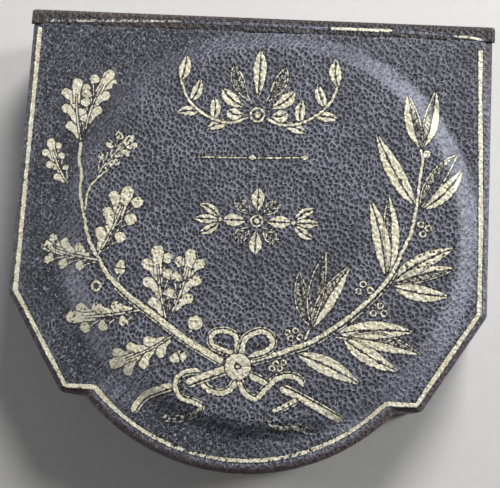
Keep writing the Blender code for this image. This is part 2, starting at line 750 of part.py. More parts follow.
def build_catch():
    """The slotted plate in the base, and the lid's plate with its tongue and window."""
    half = PLATE_LENGTH / 2
    front = FRONT_Y + TONGUE_FRONT - PLATE_FRONT
    rear = FRONT_Y + POCKET_END - RUN
    tongue_front = FRONT_Y + TONGUE_FRONT
    tongue_rear = FRONT_Y + TONGUE_REAR

    plate = box("latch_plate", (-half, front, BASE_TOP - PLATE), (half, rear, BASE_TOP), BRASS)
    wide = TONGUE_WIDTH / 2 + GAP
    slot = box(
        "cut_tongue_slot",
        (-wide, tongue_front - TONGUE_CLEAR, BASE_TOP - PLATE - OVERRUN),
        (wide, tongue_rear + TONGUE_CLEAR, BASE_TOP + OVERRUN),
    )
    cut(plate, slot)
    plate_screws(plate, "base_shell", "latch_plate_screw", BASE_TOP, Matrix.Identity(4))

    hook = box("catch_hook", (-half, front, LID_BOTTOM), (half, rear, LID_BOTTOM + PLATE), BRASS)
    wide = TONGUE_WIDTH / 2
    tongue = box(
        "add_tongue",
        (-wide, tongue_front, TONGUE_LOW),
        (wide, tongue_rear, LID_BOTTOM + PLATE / 2),
    )
    window = box(
        "cut_tongue_window",
        (-WINDOW_WIDTH / 2, tongue_front - OVERRUN, WINDOW_LOW),
        (WINDOW_WIDTH / 2, tongue_rear + OVERRUN, WINDOW_LOW + WINDOW_HEIGHT),
    )
    join(hook, tongue)
    cut(hook, window)
    plate_screws(hook, "lid_shell", "catch_hook_screw", LID_BOTTOM, FLIPPED)


def build_button():
    """Bush, push button with its stem and riveted tenon, and the bolt on the stem's end."""
    profile = [
        (BUSH_BORE, BUSH_PROUD),
        (BUSH_FLANGE - RUN, BUSH_PROUD),
        (BUSH_FLANGE, BUSH_PROUD - RUN),
        (BUSH_FLANGE, -LEATHER),
        (BUSH_BARREL, -LEATHER),
        (BUSH_BARREL, -BUSH_LENGTH),
        (STEM_RADIUS + RUN, -BUSH_LENGTH),
        (STEM_RADIUS + RUN, -BUSH_LENGTH + BUSH_END_WALL),
        (BUSH_BORE, -BUSH_LENGTH + BUSH_END_WALL),
    ]
    turned("button_bush", profile, OUT_OF_FRONT, BRASS, steps=SMALL_STEPS, ring=True)

    head = BUSH_BORE - RUN
    face = BUTTON_PROUD
    profile = []
    for i in range(CORNER_STEPS + 1):
        share = i / CORNER_STEPS
        profile.append((head * share, face - BUTTON_CROWN * share * share))
    profile += [
        (head, face - BUTTON_HEAD),
        (STEM_RADIUS, face - BUTTON_HEAD),
        (STEM_RADIUS, -BOLT_FRONT + RUN / 2),
        (TENON_RADIUS, -BOLT_FRONT + RUN / 2),
        (TENON_RADIUS, -BOLT_REAR - RUN / 2),
        (RIVET_RADIUS, -BOLT_REAR - RUN / 2),
        (RIVET_RADIUS - RUN, -BOLT_REAR - RIVET_HEAD),
        (0, -BOLT_REAR - RIVET_HEAD),
    ]
    turned("push_button", profile, OUT_OF_FRONT, BRASS, steps=SMALL_STEPS)

    front, rear = FRONT_Y + BOLT_FRONT, FRONT_Y + BOLT_REAR
    bolt = box(
        "latch_bolt",
        (-BOLT_WIDTH / 2, front, BUTTON_Z - BOLT_FOOT),
        (BOLT_WIDTH / 2, rear, BASE_TOP - PLATE - TONGUE_CLEAR),
        STEEL,
    )
    lip = box(
        "add_bolt_lip",
        (-LIP_WIDTH / 2, front - TONGUE_CLEAR - LIP_REACH, LIP_LOW),
        (LIP_WIDTH / 2, (front + rear) / 2, LIP_LOW + LIP_HEIGHT),
    )
    eye = rod(
        "cut_bolt_eye",
        TENON_RADIUS + RUN,
        (0, front - OVERRUN / 4, BUTTON_Z),
        (0, rear + OVERRUN / 4, BUTTON_Z),
    )
    join(bolt, lip)
    cut(bolt, eye)


def build_spring():
    """The coil between the button's head and the end wall of its bush, as one round wire."""
    upper = BUTTON_PROUD - BUTTON_HEAD - SPRING_WIRE - RUN
    lower = -BUSH_LENGTH + BUSH_END_WALL + SPRING_WIRE + RUN
    count = int(SPRING_TURNS * WIRE_STEPS)
    points = []
    for i in range(count + 1):
        angle = 2 * math.pi * i / WIRE_STEPS
        height = lower + (upper - lower) * i / count
        points.append((SPRING_RADIUS * math.cos(angle), SPRING_RADIUS * math.sin(angle), height))
    curve = bpy.data.curves.new("latch_spring", "CURVE")
    curve.dimensions = "3D"
    curve.bevel_depth = SPRING_WIRE
    curve.bevel_resolution = 1
    curve.use_fill_caps = True
    spline = curve.splines.new("POLY")
    spline.points.add(len(points) - 1)
    for point, place in zip(spline.points, points):
        point.co = (*place, 1)
    curve.materials.append(STEEL)
    spring = bpy.data.objects.new("latch_spring", curve)
    spring.matrix_world = OUT_OF_FRONT
    CASE.objects.link(spring)
    least = min(
        math.dist(here, there)
        for i, here in enumerate(points)
        for there in points[i + WIRE_STEPS // 2 :]
    )
    print(f"latch_spring least gap to itself {(least - 2 * SPRING_WIRE) / MM:.2f} mm")


def hang_on(name, place, members):
    """Parent the pieces of one moving half to an empty on its joint."""
    pivot = bpy.data.objects.new(name, None)
    pivot.location = place
    CASE.objects.link(pivot)
    back = Matrix.Translation(place).inverted()
    for thing in CASE.objects:
        if thing.type != "EMPTY" and thing.name.startswith(members):
            thing.parent = pivot
            thing.matrix_parent_inverse = back


clear_scene()
CASE = new_group("Medal_presentation_case")
CUTTERS = new_group("Cutters")
WOOD = finish("limewood", (0.42, 0.27, 0.14), 0.6)
LEATHER_DARK = finish("crushed_grain_leather", (0.028, 0.029, 0.042), 0.42)
PAPER = finish("bottom_paper", (0.05, 0.045, 0.055), 0.75)
PAPER_DARK = finish("rim_paper", (0.55, 0.46, 0.33), 0.7)
VELVET = finish("velvet", (0.035, 0.02, 0.11), 0.95)
SILK = finish("silk_ribbon", (0.62, 0.54, 0.4), 0.45)
SATIN = finish("satin", (0.78, 0.72, 0.58), 0.35)
GILT = finish("gilt_collar", (0.62, 0.45, 0.17), 0.35, 0.6)
BRASS = finish("brass", (0.68, 0.5, 0.22), 0.3, 1.0)
STEEL = finish("steel", (0.5, 0.5, 0.52), 0.32, 1.0)
TOOLS = make_shared_cutters()
build_base()
build_ribbon()
build_lid()
build_spine_strip()
build_hinge("left", -HINGE_X)
build_hinge("right", HINGE_X)
build_catch()
build_button()
build_spring()
hang_on("lid_axis", (0, AXIS_Y, AXIS_Z), ("lid_", "hinge_leaf_lid", "hinge_nail_lid", "catch_hook"))
hang_on("button_axis", (0, FRONT_Y, BUTTON_Z), ("push_button", "latch_bolt"))
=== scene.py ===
"""Dresses the presentation case of a round medal.

The case is leather over wood, with gold tooling on its lid, a velvet well, a
satin pad and brass fittings. Shapes are worked out in millimetres, in the
same frame as the CAD, and turned into metres when a mesh is made.
"""

import json
import logging
import math
from collections.abc import Sequence
from dataclasses import asdict, dataclass, field
from enum import Enum

import bmesh
import bpy
import numpy as np
from mathutils import Matrix


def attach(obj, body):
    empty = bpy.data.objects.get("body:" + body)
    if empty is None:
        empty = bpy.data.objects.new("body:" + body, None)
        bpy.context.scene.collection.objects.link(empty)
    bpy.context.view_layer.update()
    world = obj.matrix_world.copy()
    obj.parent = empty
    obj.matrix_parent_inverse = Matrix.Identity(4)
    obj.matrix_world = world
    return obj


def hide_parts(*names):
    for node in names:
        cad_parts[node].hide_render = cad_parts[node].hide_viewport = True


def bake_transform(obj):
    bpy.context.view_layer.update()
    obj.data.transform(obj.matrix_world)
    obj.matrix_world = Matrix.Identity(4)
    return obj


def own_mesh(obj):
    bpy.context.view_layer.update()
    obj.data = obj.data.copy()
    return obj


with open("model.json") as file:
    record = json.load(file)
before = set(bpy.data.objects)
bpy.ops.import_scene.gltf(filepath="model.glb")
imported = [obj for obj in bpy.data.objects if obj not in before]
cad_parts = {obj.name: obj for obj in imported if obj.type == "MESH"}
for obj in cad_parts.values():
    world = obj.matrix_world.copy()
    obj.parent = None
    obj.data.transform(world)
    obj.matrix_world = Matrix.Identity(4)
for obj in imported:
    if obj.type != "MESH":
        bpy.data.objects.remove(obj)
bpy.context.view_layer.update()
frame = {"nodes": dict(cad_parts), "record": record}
LOG = logging.getLogger("medal_case")
# Metres in a millimetre, the length in mm under which an edge is a sliver, and how
# far inside the outline, in mm, the ring lies that shows which way is inwards.
MM = 0.001
SLIVER = 0.001
PROBE = 2.5

Array = np.ndarray
Socket = bpy.types.NodeSocket
Value = Socket | float | tuple[float, ...]
Point = tuple[float, float]
Place = tuple[float, float, float]
Colour = tuple[float, float, float]


# ---------------------------------------------------------------- small helpers


def smooth_step(value: Array, low: float = 0.0, high: float = 1.0) -> Array:
    """Rises from 0 at low to 1 at high as 3s^2 - 2s^3, and stays flat outside."""
    share = np.clip((value - low) / (high - low), 0.0, 1.0)
    return share * share * (3.0 - 2.0 * share)


def patch(x: Array, y: Array, middle: Point, reach: Point) -> Array:
    """Gives a soft patch: one in its middle, falling off as a bell across x and y."""
    return np.exp(-(((x - middle[0]) / reach[0]) ** 2) - ((y - middle[1]) / reach[1]) ** 2)


def srgb(red: int, green: int, blue: int) -> tuple[float, float, float, float]:
    """Turns a screen's colour of 0 to 255 into the linear one.

    Args:
        red: The red value.
        green: The green value.
        blue: The blue value.

    Returns:
        The linear colour, with an alpha of 1.
    """
    shares = np.array([red, green, blue]) / 255.0
    linear = np.where(shares <= 0.04045, shares / 12.92, ((shares + 0.055) / 1.055) ** 2.4)
    return (*(float(value) for value in linear), 1.0)


def around(count: int) -> Array:
    """Lists even angles all the way round, the last one step short of the first."""
    return np.linspace(0.0, 2 * math.pi, count, endpoint=False)


def heading(angle: float) -> Array:
    """Gives the direction at an angle in the plan."""
    return np.array([math.cos(angle), math.sin(angle)])


def unit(vectors: Array) -> Array:
    """Scales vectors to a length of 1."""
    return vectors / np.maximum(np.linalg.norm(vectors, axis=-1, keepdims=True), 1e-9)


def directions(path: Array) -> tuple[Array, Array]:
    """Gives the directions along a path in the plan, and a quarter turn to the left of it."""
    tangent = unit(np.gradient(path, axis=0))
    return tangent, np.column_stack([-tangent[:, 1], tangent[:, 0]])


def running_length(line: Array) -> Array:
    """Gives the length along a line in a plane from its start to each of its points."""
    return np.concatenate([[0.0], np.cumsum(np.hypot(*np.diff(line, axis=0).T))])


def spline(points: Sequence[Point], spacing: float = 0.35) -> Array:
    """Draws a smooth curve through points.

    Each stretch is the Catmull-Rom cubic of its four neighbours, with the
    ends reflected, and the whole is resampled at even steps of its length.

    Args:
        points: The points it passes, in mm.
        spacing: The step along the curve, in mm.

    Returns:
        The curve as an array of shape (n, 2).
    """
    knots = np.array(points, float)
    knots = np.vstack([2 * knots[0] - knots[1], knots, 2 * knots[-1] - knots[-2]])
    a, b, c, d = (knots[k : len(knots) - 3 + k, None, :] for k in range(4))
    s = np.linspace(0.0, 1.0, 24, endpoint=False)[None, :, None]
    square, cube = 2 * a - 5 * b + 4 * c - d, 3 * b - a - 3 * c + d
    curve = 0.5 * (2 * b + (c - a) * s + square * s**2 + cube * s**3)
    return resample(np.vstack([curve.reshape(-1, 2), knots[-2]]), spacing)


def resample(curve: Array, spacing: float) -> Array:
    """Places points at even steps of length along a polyline.

    Args:
        curve: The polyline, shape (n, 2).
        spacing: The step, in mm.

    Returns:
        The points, of which there are at least five.
    """
    length = running_length(curve)
    even = np.linspace(0.0, length[-1], max(int(round(length[-1] / spacing)) + 1, 5))
    return np.stack([np.interp(even, length, curve[:, k]) for k in (0, 1)], axis=1)


def mesh_object(
    name: str,
    points: Array,
    faces: Sequence[Array],
    attributes: dict[str, Array] | None = None,
) -> bpy.types.Object:
    """Makes a smooth object from arrays.

    Args:
        name: The piece's name.
        points: Vertices in mm, shape (n, 3).
        faces: Index arrays of shape (m, 3) or (m, 4).
        attributes: Values on the vertices, by attribute name.

    Returns:
        The object, linked to the scene.
    """
    mesh = bpy.data.meshes.new(name)
    corners = np.concatenate([block.ravel() for block in faces]).astype(np.int32)
    sizes = np.concatenate([np.full(len(block), block.shape[1]) for block in faces])
    mesh.vertices.add(len(points))
    mesh.vertices.foreach_set("co", (points * MM).astype(np.float32).ravel())
    mesh.loops.add(len(corners))
    mesh.loops.foreach_set("vertex_index", corners)
    mesh.polygons.add(len(sizes))
    starts = np.concatenate([[0], np.cumsum(sizes)[:-1]]).astype(np.int32)
    mesh.polygons.foreach_set("loop_start", starts)
    mesh.polygons.foreach_set("use_smooth", np.ones(len(sizes), bool))
    mesh.update(calc_edges=True)
    mesh.validate()
    for key, values in (attributes or {}).items():
        values = np.ascontiguousarray(values, np.float32)
        flat = values.ndim == 1
        layer = mesh.attributes.new(key, "FLOAT" if flat else "FLOAT_VECTOR", "POINT")
        layer.data.foreach_set("value" if flat else "vector", values.ravel())
    return placed(name, mesh)


def placed(name: str, data: bpy.types.ID) -> bpy.types.Object:
    """Puts an object into the scene.

    Args:
        name: Its name.
        data: Its mesh, lamp or camera.

    Returns:
        The object.
    """
    piece = bpy.data.objects.new(name, data)
    bpy.context.scene.collection.objects.link(piece)
    return piece


def thickened(piece: bpy.types.Object, thickness: float, offset: float) -> bpy.types.Object:
    """Gives a piece a thickness.

    Args:
        piece: The piece, a single layer.
        thickness: Its thickness in mm.
        offset: -1 where it lies below the layer, 0 to both sides.

    Returns:
        The piece.
    """
    solid = piece.modifiers.new("thickness", "SOLIDIFY")
    solid.thickness = thickness * MM
    solid.offset = offset
    return piece


def grid_faces(rows: int, columns: int, loop_rows: bool = False, loop_columns: bool = False, start: int = 0) -> Array:
    """Lists the quads of a grid whose vertices run row by row.

    Args:
        rows: Number of rows.
        columns: Number of vertices in a row.
        loop_rows: Whether the last row joins the first.
        loop_columns: Whether each row closes on itself.
        start: Index of the grid's first vertex.

    Returns:
        An array of shape (m, 4), facing along row step x column step.
    """
    row = np.arange(rows if loop_rows else rows - 1)[:, None]
    column = np.arange(columns if loop_columns else columns - 1)[None, :]
    next_row = (row + 1) % rows
    next_column = (column + 1) % columns
    here, ahead = row * columns, next_row * columns
    quads = [here + column, ahead + column, ahead + next_column, here + next_column]
    return start + np.stack(quads, axis=-1).reshape(-1, 4)


def rings_object(
    name: str, rings: Array, closed_section: bool, attributes: dict[str, Array] | None = None
) -> bpy.types.Object:
    """Makes a piece from closed rings, each one step further along a section.

    Where the section is closed the last ring joins the first. Otherwise the
    first and last rings close on their own middles.

    Args:
        name: The piece's name.
        rings: Points in mm, shape (rings, around, 3).
        closed_section: Whether the section comes back to its start.
        attributes: Values per ring point, shape (rings, around).

    Returns:
        The object.
    """
    count, width = rings.shape[:2]
    faces = [grid_faces(count, width, closed_section, True)]
    if not closed_section:
        index = np.arange(width)
        following = (index + 1) % width
        first, last = count * width, (count - 1) * width
        faces.append(np.stack([np.full(width, first), index, following], axis=1))
        faces.append(np.stack([np.full(width, first + 1), last + following, last + index], axis=1))

    def listed(values: Array) -> Array:
        """Lists a grid's values, with the means of the end rings last where these close."""
        rows = values.reshape(count * width, *values.shape[2:])
        return rows if closed_section else np.concatenate([rows, [values[0].mean(axis=0), values[-1].mean(axis=0)]])

    extra = {key: listed(values) for key, values in (attributes or {}).items()}
    return mesh_object(name, listed(rings), faces, extra)


def capped(section: Array) -> tuple[Array, list[Array]]:
    """Closes both ends of a closed section that is carried along a line.

    Args:
        section: Points in mm, shape (section, along, 3).

    Returns:
        The points, with the middles of the two ends last, and the faces.
    """
    count, along = section.shape[:2]
    index = np.arange(count)
    start, following = index * along, (index + 1) % count * along
    first, last = np.full(count, count * along), along - 1
    faces = [
        grid_faces(count, along, True),
        np.stack([first, following, start], axis=1),
        np.stack([first + 1, start + last, following + last], axis=1),
    ]
    middles = [section[:, end].mean(axis=0) for end in (0, -1)]
    return np.vstack([section.reshape(-1, 3), middles]), faces


def recalculate(piece: bpy.types.Object) -> bpy.types.Object:
    """Takes the slivers out of a closed piece and turns every face outwards.

    Args:
        piece: The piece.

    Returns:
        The same piece.
    """
    shape = bmesh.new()
    shape.from_mesh(piece.data)
    bmesh.ops.dissolve_degenerate(shape, dist=SLIVER * MM, edges=shape.edges)
    bmesh.ops.recalc_face_normals(shape, faces=shape.faces)
    shape.to_mesh(piece.data)
    shape.free()
    return piece


def cut_away(piece: bpy.types.Object, shape: bmesh.types.BMesh) -> None:
    """Takes a shape out of a piece, and frees the shape.

    Args:
        piece: The piece.
        shape: What is cut out of it.
    """
    mesh = bpy.data.meshes.new("cut")
    shape.to_mesh(mesh)
    shape.free()
    tool = placed("cut", mesh)
    hole = piece.modifiers.new("hole", "BOOLEAN")
    hole.operation = "DIFFERENCE"
    hole.solver = "EXACT"
    hole.object = tool
    graph = bpy.context.evaluated_depsgraph_get()
    graph.update()
    result = bpy.data.meshes.new_from_object(
        piece.evaluated_get(graph), preserve_all_data_layers=True, depsgraph=graph
    )
    piece.modifiers.clear()
    piece.data = result
    bpy.data.objects.remove(tool)


def turned_rings(profile: Sequence[Point], centre: Point, count: int) -> Array:
    """Turns a profile of (radius, height) round a vertical axis.

    Args:
        profile: The points of the section, in mm.
        centre: Where the axis stands.
        count: Number of points in each ring.

    Returns:
        Points of shape (profile, count, 3), going anticlockwise.
    """
    section = np.array(profile, float)
    angle = around(count)
    x = centre[0] + section[:, :1] * np.cos(angle)
    y = centre[1] + section[:, :1] * np.sin(angle)
    return np.stack([x, y, np.broadcast_to(section[:, 1:], x.shape)], axis=-1)


def arc_points(centre: Point, radius: float, start: float, end: float, count: int) -> list[Point]:
    """Lists points on an arc.

    Args:
        centre: The arc's centre.
        radius: Its radius.
        start: The angle in degrees where it starts.
        end: The angle where it ends.
        count: How many points it has.

    Returns:
        The points.
    """
    angles = np.radians(np.linspace(start, end, count))
    return [(centre[0] + radius * math.cos(a), centre[1] + radius * math.sin(a)) for a in angles]


# ---------------------------------------------------------------- finishes


class Graph:
    """A material's node tree, with short calls for the nodes used here."""

    def __init__(self, name: str) -> None:
        """Starts a material with one shader, and places in millimetres.

        Args:
            name: The material's name.
        """
        self.material = bpy.data.materials.new(name)
        self.material.use_nodes = True
        self.tree = self.material.node_tree
        self.shader = self.tree.nodes["Principled BSDF"]
        place = self.node("ShaderNodeTexCoord").outputs["Object"]
        self.mm = self.vector("MULTIPLY", place, (1000.0, 1000.0, 1000.0))

    def node(self, kind: str, inputs: dict[int | str, Value] | None = None, **settings: str | bool) -> bpy.types.Node:
        """Adds a node.

        Args:
            kind: The node's type.
            inputs: A socket or a plain value for each named or numbered input.
            **settings: The node's own properties.

        Returns:
            The node.
        """
        node = self.tree.nodes.new(kind)
        for key, value in settings.items():
            setattr(node, key, value)
        for key, value in (inputs or {}).items():
            self.feed(node.inputs[key], value)
        return node

    def feed(self, target: Socket, value: Value) -> None:
        """Links a socket to another, or sets its own value.

        Args:
            target: The socket that is fed.
            value: A socket or a plain value.
        """
        if isinstance(value, bpy.types.NodeSocket):
            self.tree.links.new(value, target)
        else:
            target.default_value = value

    def set(self, **values: Value) -> None:
        """Feeds the shader's inputs, whose names have _ in place of a space."""
        for key, value in values.items():
            self.feed(self.shader.inputs[key.replace("_", " ")], value)

    def math(self, operation: str, first: Value, second: Value, third: Value = 0.0, clamp: bool = False) -> Socket:
        """Works out one sum of numbers.

        Args:
            operation: The sum.
            first: A socket or a number, as are the next two.
            second: The second number.
            third: The third, where the sum has one.
            clamp: Whether the result is kept within 0 and 1.

        Returns:
            The result's socket.
        """
        inputs = {0: first, 1: second, 2: third}
        return self.node("ShaderNodeMath", inputs, operation=operation, use_clamp=clamp).outputs[0]

    def times(self, first: Value, second: Value) -> Socket:
        """Multiplies two numbers."""
        return self.math("MULTIPLY", first, second)

    def less(self, first: Value, second: Value, clamp: bool = False) -> Socket:
        """Takes second from first."""
        return self.math("SUBTRACT", first, second, clamp=clamp)

    def plus(self, value: Value, factor: Value, base: Value, clamp: bool = False) -> Socket:
        """Gives value times factor, plus base."""
        return self.math("MULTIPLY_ADD", value, factor, base, clamp)

    def vector(self, operation: str, first: Value, second: Value) -> Socket:
        """Works out one sum of vectors."""
        return self.node("ShaderNodeVectorMath", {0: first, 1: second}, operation=operation).outputs[0]

    def mix(self, share: Value, first: Value, second: Value, way: str = "MIX") -> Socket:
        """Mixes two colours.

        Args:
            share: How much of the second there is.
            first: A socket, or three values of 0 to 255.
            second: The same for the second colour.
            way: How they are blended.

        Returns:
            The mixed colour's socket.
        """
        first, second = (srgb(*part) if isinstance(part, tuple) else part for part in (first, second))
        inputs = {0: share, 6: first, 7: second}
        return self.node("ShaderNodeMix", inputs, data_type="RGBA", blend_type=way).outputs[2]

    def between(self, share: Value, first: Value, second: Value) -> Socket:
        """Mixes two numbers."""
        return self.node("ShaderNodeMix", {0: share, 2: first, 3: second}, data_type="FLOAT").outputs[0]

    def span(self, value: Value, low: float, high: float, start: float = 0.0, end: float = 1.0) -> Socket:
        """Carries value from low..high to start..end along a smooth step, level beyond both."""
        inputs = {0: value, 1: low, 2: high, 3: start, 4: end}
        return self.node("ShaderNodeMapRange", inputs, interpolation_type="SMOOTHSTEP").outputs[0]

    def noise(self, scale: float, detail: float = 3.0, place: Socket | None = None, output: int = 0) -> Socket:
        """Adds a soft noise.

        Args:
            scale: Its features to the millimetre.
            detail: How many finer layers lie over it.
            place: Where it is read, or None for the piece's own places.
            output: 0 for a number, 1 for a colour.

        Returns:
            The noise's socket.
        """
        inputs = {"Vector": place or self.mm, "Scale": scale, "Detail": detail, "Roughness": 0.55}
        return self.node("ShaderNodeTexNoise", inputs).outputs[output]

    def cells(
        self, scale: float, place: Socket | None = None, feature: str = "F1", scatter: float = 1.0, flat: bool = False
    ) -> Socket:
        """Gives the distance to the nearest of many scattered points.

        Args:
            scale: Points to the millimetre.
            place: Where it is read, or None for the piece's own places.
            feature: F1, or DISTANCE_TO_EDGE for that to the edge between cells.
            scatter: How far the points stand off an even grid.
            flat: Whether the points lie in the plan only.

        Returns:
            The distance's socket.
        """
        inputs = {"Vector": place or self.mm, "Scale": scale, "Randomness": scatter}
        settings = {"feature": feature, "voronoi_dimensions": "2D" if flat else "3D"}
        return self.node("ShaderNodeTexVoronoi", inputs, **settings).outputs["Distance"]

    def bands(self, scale: float, place: Socket | None = None, axis: str = "X", distortion: float = 0.0) -> Socket:
        """Gives sine bands across an axis."""
        inputs = {"Vector": place or self.mm, "Scale": scale, "Distortion": distortion, "Detail": 2.0}
        return self.node("ShaderNodeTexWave", inputs, bands_direction=axis).outputs["Fac"]

    def moved(self, place: Socket, scale: float, reach: float) -> Socket:
        """Pushes places about by a soft noise, by up to reach mm."""
        drift = self.vector("SUBTRACT", self.noise(scale, 2.0, place, 1), (0.5, 0.5, 0.5))
        return self.vector("ADD", place, self.vector("MULTIPLY", drift, (reach, reach, reach)))

    def stretched(self, factors: Colour, turn: float = 0.0, place: Socket | None = None) -> Socket:
        """Scales places along turned axes.

        Args:
            factors: The scale along each axis.
            turn: How far the axes stand turned about Z, in degrees.
            place: What is scaled, or None for the piece's own places.

        Returns:
            The scaled places' socket.
        """
        lengths = tuple(1.0 / factor for factor in factors)
        inputs = {"Vector": place or self.mm, "Scale": lengths, "Rotation": (0.0, 0.0, math.radians(turn))}
        return self.node("ShaderNodeMapping", inputs, vector_type="TEXTURE").outputs[0]

    def attribute(self, name: str, output: str = "Fac") -> Socket:
        """Reads a number, or a place as Vector, kept on the mesh."""
        return self.node("ShaderNodeAttribute", attribute_name=name).outputs[output]

    def bump(self, height: Socket, depth: float, strength: float = 1.0) -> Socket:
        """Turns a height of 0 to 1, worth depth mm, into a normal."""
        inputs = {"Height": height, "Distance": depth * MM, "Strength": strength}
        return self.node("ShaderNodeBump", inputs).outputs[0]


class Finish:
    """One look of the case, painted into a material of its own name."""

    name: str

    def paint(self, graph: Graph) -> None:
        """Fills the material's nodes, which every finish does in its own way."""
        raise NotImplementedError(self.name)

    def material(self) -> bpy.types.Material:
        """Makes the material.

        Returns:
            The material.
        """
        graph = Graph(self.name)
        self.paint(graph)
        return graph.material


@dataclass(frozen=True)
class LeatherLook:
    """What the leather's nodes give: its colour, roughness and height."""

    colour: Socket
    roughness: Socket
    height: Socket
    ridges: Socket


@dataclass(frozen=True)
class Leather(Finish):
    """Crushed-grain leather, nearly black, rubbed brown at its edges, with painted glints, sheen and shade in its
    colour.
    """

    name: str = "case_leather"
    pit: Colour = (5, 6, 9)
    ridge: Colour = (112, 114, 129)
    painted_glint: Colour = (186, 190, 208)
    rubbed: Colour = (128, 112, 116)
    brown: Colour = (72, 54, 58)
    haze: Colour = (44, 42, 50)
    dull: Colour = (22, 23, 28)
    pebble: float = 1.22
    scatter: float = 0.8
    lean: float = 55.0
    depth: float = 0.36
    base_wear: float = 0.0

    def look(self, graph: Graph) -> LeatherLook:
        """Builds the grain.

        Pits stand at scattered points about a millimetre apart, with bright
        ridges between them; darker pits and lighter ridges are partly the
        grain's own tone and partly painted shade and highlight, and the seams
        between cells carry painted glints. Long creases and a fine skin lie
        over both, and the wear kept on the mesh turns the ridges brown. Where
        the skin is drawn smooth it takes painted sheen, where it is slack it
        is darker and takes painted sparkle, and the band in front has painted
        shade.

        Args:
            graph: The material that it goes into.

        Returns:
            The sockets of the grain.
        """
        skin_place = graph.attribute("unfolded", "Vector")
        tight = graph.attribute("tight")
        drawn = graph.stretched((0.86, 1.14, 1.0), self.lean, graph.moved(skin_place, 0.4, 0.9))
        pits = graph.span(graph.cells(self.pebble, drawn, scatter=self.scatter, flat=True), 0.0, 0.66)
        pits = graph.between(graph.times(tight, 0.35), pits, 0.8)
        loose = graph.attribute("loose")
        pulled = graph.stretched((0.30, 1.9, 1.0), self.lean, graph.moved(skin_place, 0.25, 2.0))
        folds = graph.span(graph.noise(0.75, 3.0, pulled), 0.36, 0.60)
        pits = graph.between(graph.times(loose, 0.62), pits, folds)
        # Painted glints: pale lines on the seams between cells, where the noise says they are lit.
        seams = graph.cells(self.pebble, drawn, "DISTANCE_TO_EDGE", self.scatter, True)
        lit = graph.span(graph.noise(0.8, 2.0, skin_place), 0.40, 0.58)
        painted_glint_lines = graph.times(graph.span(seams, 0.0, 0.13, 1.0, 0.0), lit)
        lines = graph.cells(0.45, graph.moved(skin_place, 0.35, 2.4), "DISTANCE_TO_EDGE", flat=True)
        creases = graph.span(lines, 0.0, 0.10)
        skin = graph.noise(2.6, 5.0, drawn)
        cloud = graph.noise(0.09, 3.0, skin_place)
        height = graph.plus(painted_glint_lines, 0.20, graph.times(pits, 0.5))
        height = graph.plus(skin, 0.40, height)
        height = graph.plus(creases, 0.15, height)
        # Tone of the grain: darker pits and lighter ridges are partly its own tone and partly painted shade and
        # highlight, the creases are darkened as painted shade, and drawn-smooth skin is lighter as painted sheen.
        ridges = graph.plus(tight, 0.15, graph.plus(pits, 0.72, 0.05))
        ridges = graph.plus(graph.less(creases, 1.0), 0.25, ridges)
        ridges = graph.plus(graph.less(skin, 0.5), 1.5, ridges, clamp=True)
        colour = graph.mix(ridges, self.pit, self.ridge)
        # Painted glints: the seam lines are mixed towards the pale highlight colour.
        colour = graph.mix(graph.times(painted_glint_lines, 0.80), colour, self.painted_glint)
        colour = graph.mix(graph.span(cloud, 0.35, 0.7, 0.0, 0.55), colour, self.haze)
        # Darker where the skin is slack and not drawn smooth; in the band in front this darkening is painted shade.
        dulled = graph.times(graph.less(loose, tight, clamp=True), 0.50)
        colour = graph.mix(dulled, colour, self.dull)
        # Painted sheen: where the skin is drawn smooth, the ridges are mixed towards the pale highlight colour.
        colour = graph.mix(graph.times(tight, graph.times(ridges, 0.34)), colour, self.painted_glint)
        # Painted sparkle: pale specks of highlight, most where the skin is slack.
        painted_sparkle = graph.span(graph.noise(1.9, 3.0, drawn), 0.57, 0.66)
        painted_sparkle = graph.times(painted_sparkle, graph.plus(loose, 0.38, 0.12))
        colour = graph.mix(painted_sparkle, colour, self.painted_glint)
        wear = graph.math("ADD", graph.attribute("wear"), self.base_wear)
        patches = graph.less(graph.noise(0.7, 4.0, skin_place), 0.5)
        ragged = graph.plus(patches, 0.9, wear)
        browned = graph.span(ragged, 0.25, 0.75)
        bare = graph.times(graph.span(ragged, 0.55, 1.0), ridges)
        colour = graph.mix(browned, colour, self.brown)
        colour = graph.mix(bare, colour, self.rubbed)
        sheen = graph.plus(painted_glint_lines, -0.06, graph.plus(ridges, -0.22, 0.56))
        roughness = graph.plus(browned, 0.20, sheen)
        return LeatherLook(colour, roughness, height, ridges)

    def paint(self, graph: Graph) -> None:
        """Gives the grain its colour, gloss and relief.

        Args:
            graph: The material's node tree.
        """
        look = self.look(graph)
        normal = graph.bump(look.height, self.depth)
        graph.set(Base_Color=look.colour, Roughness=look.roughness, Normal=normal, Specular_IOR_Level=0.6)


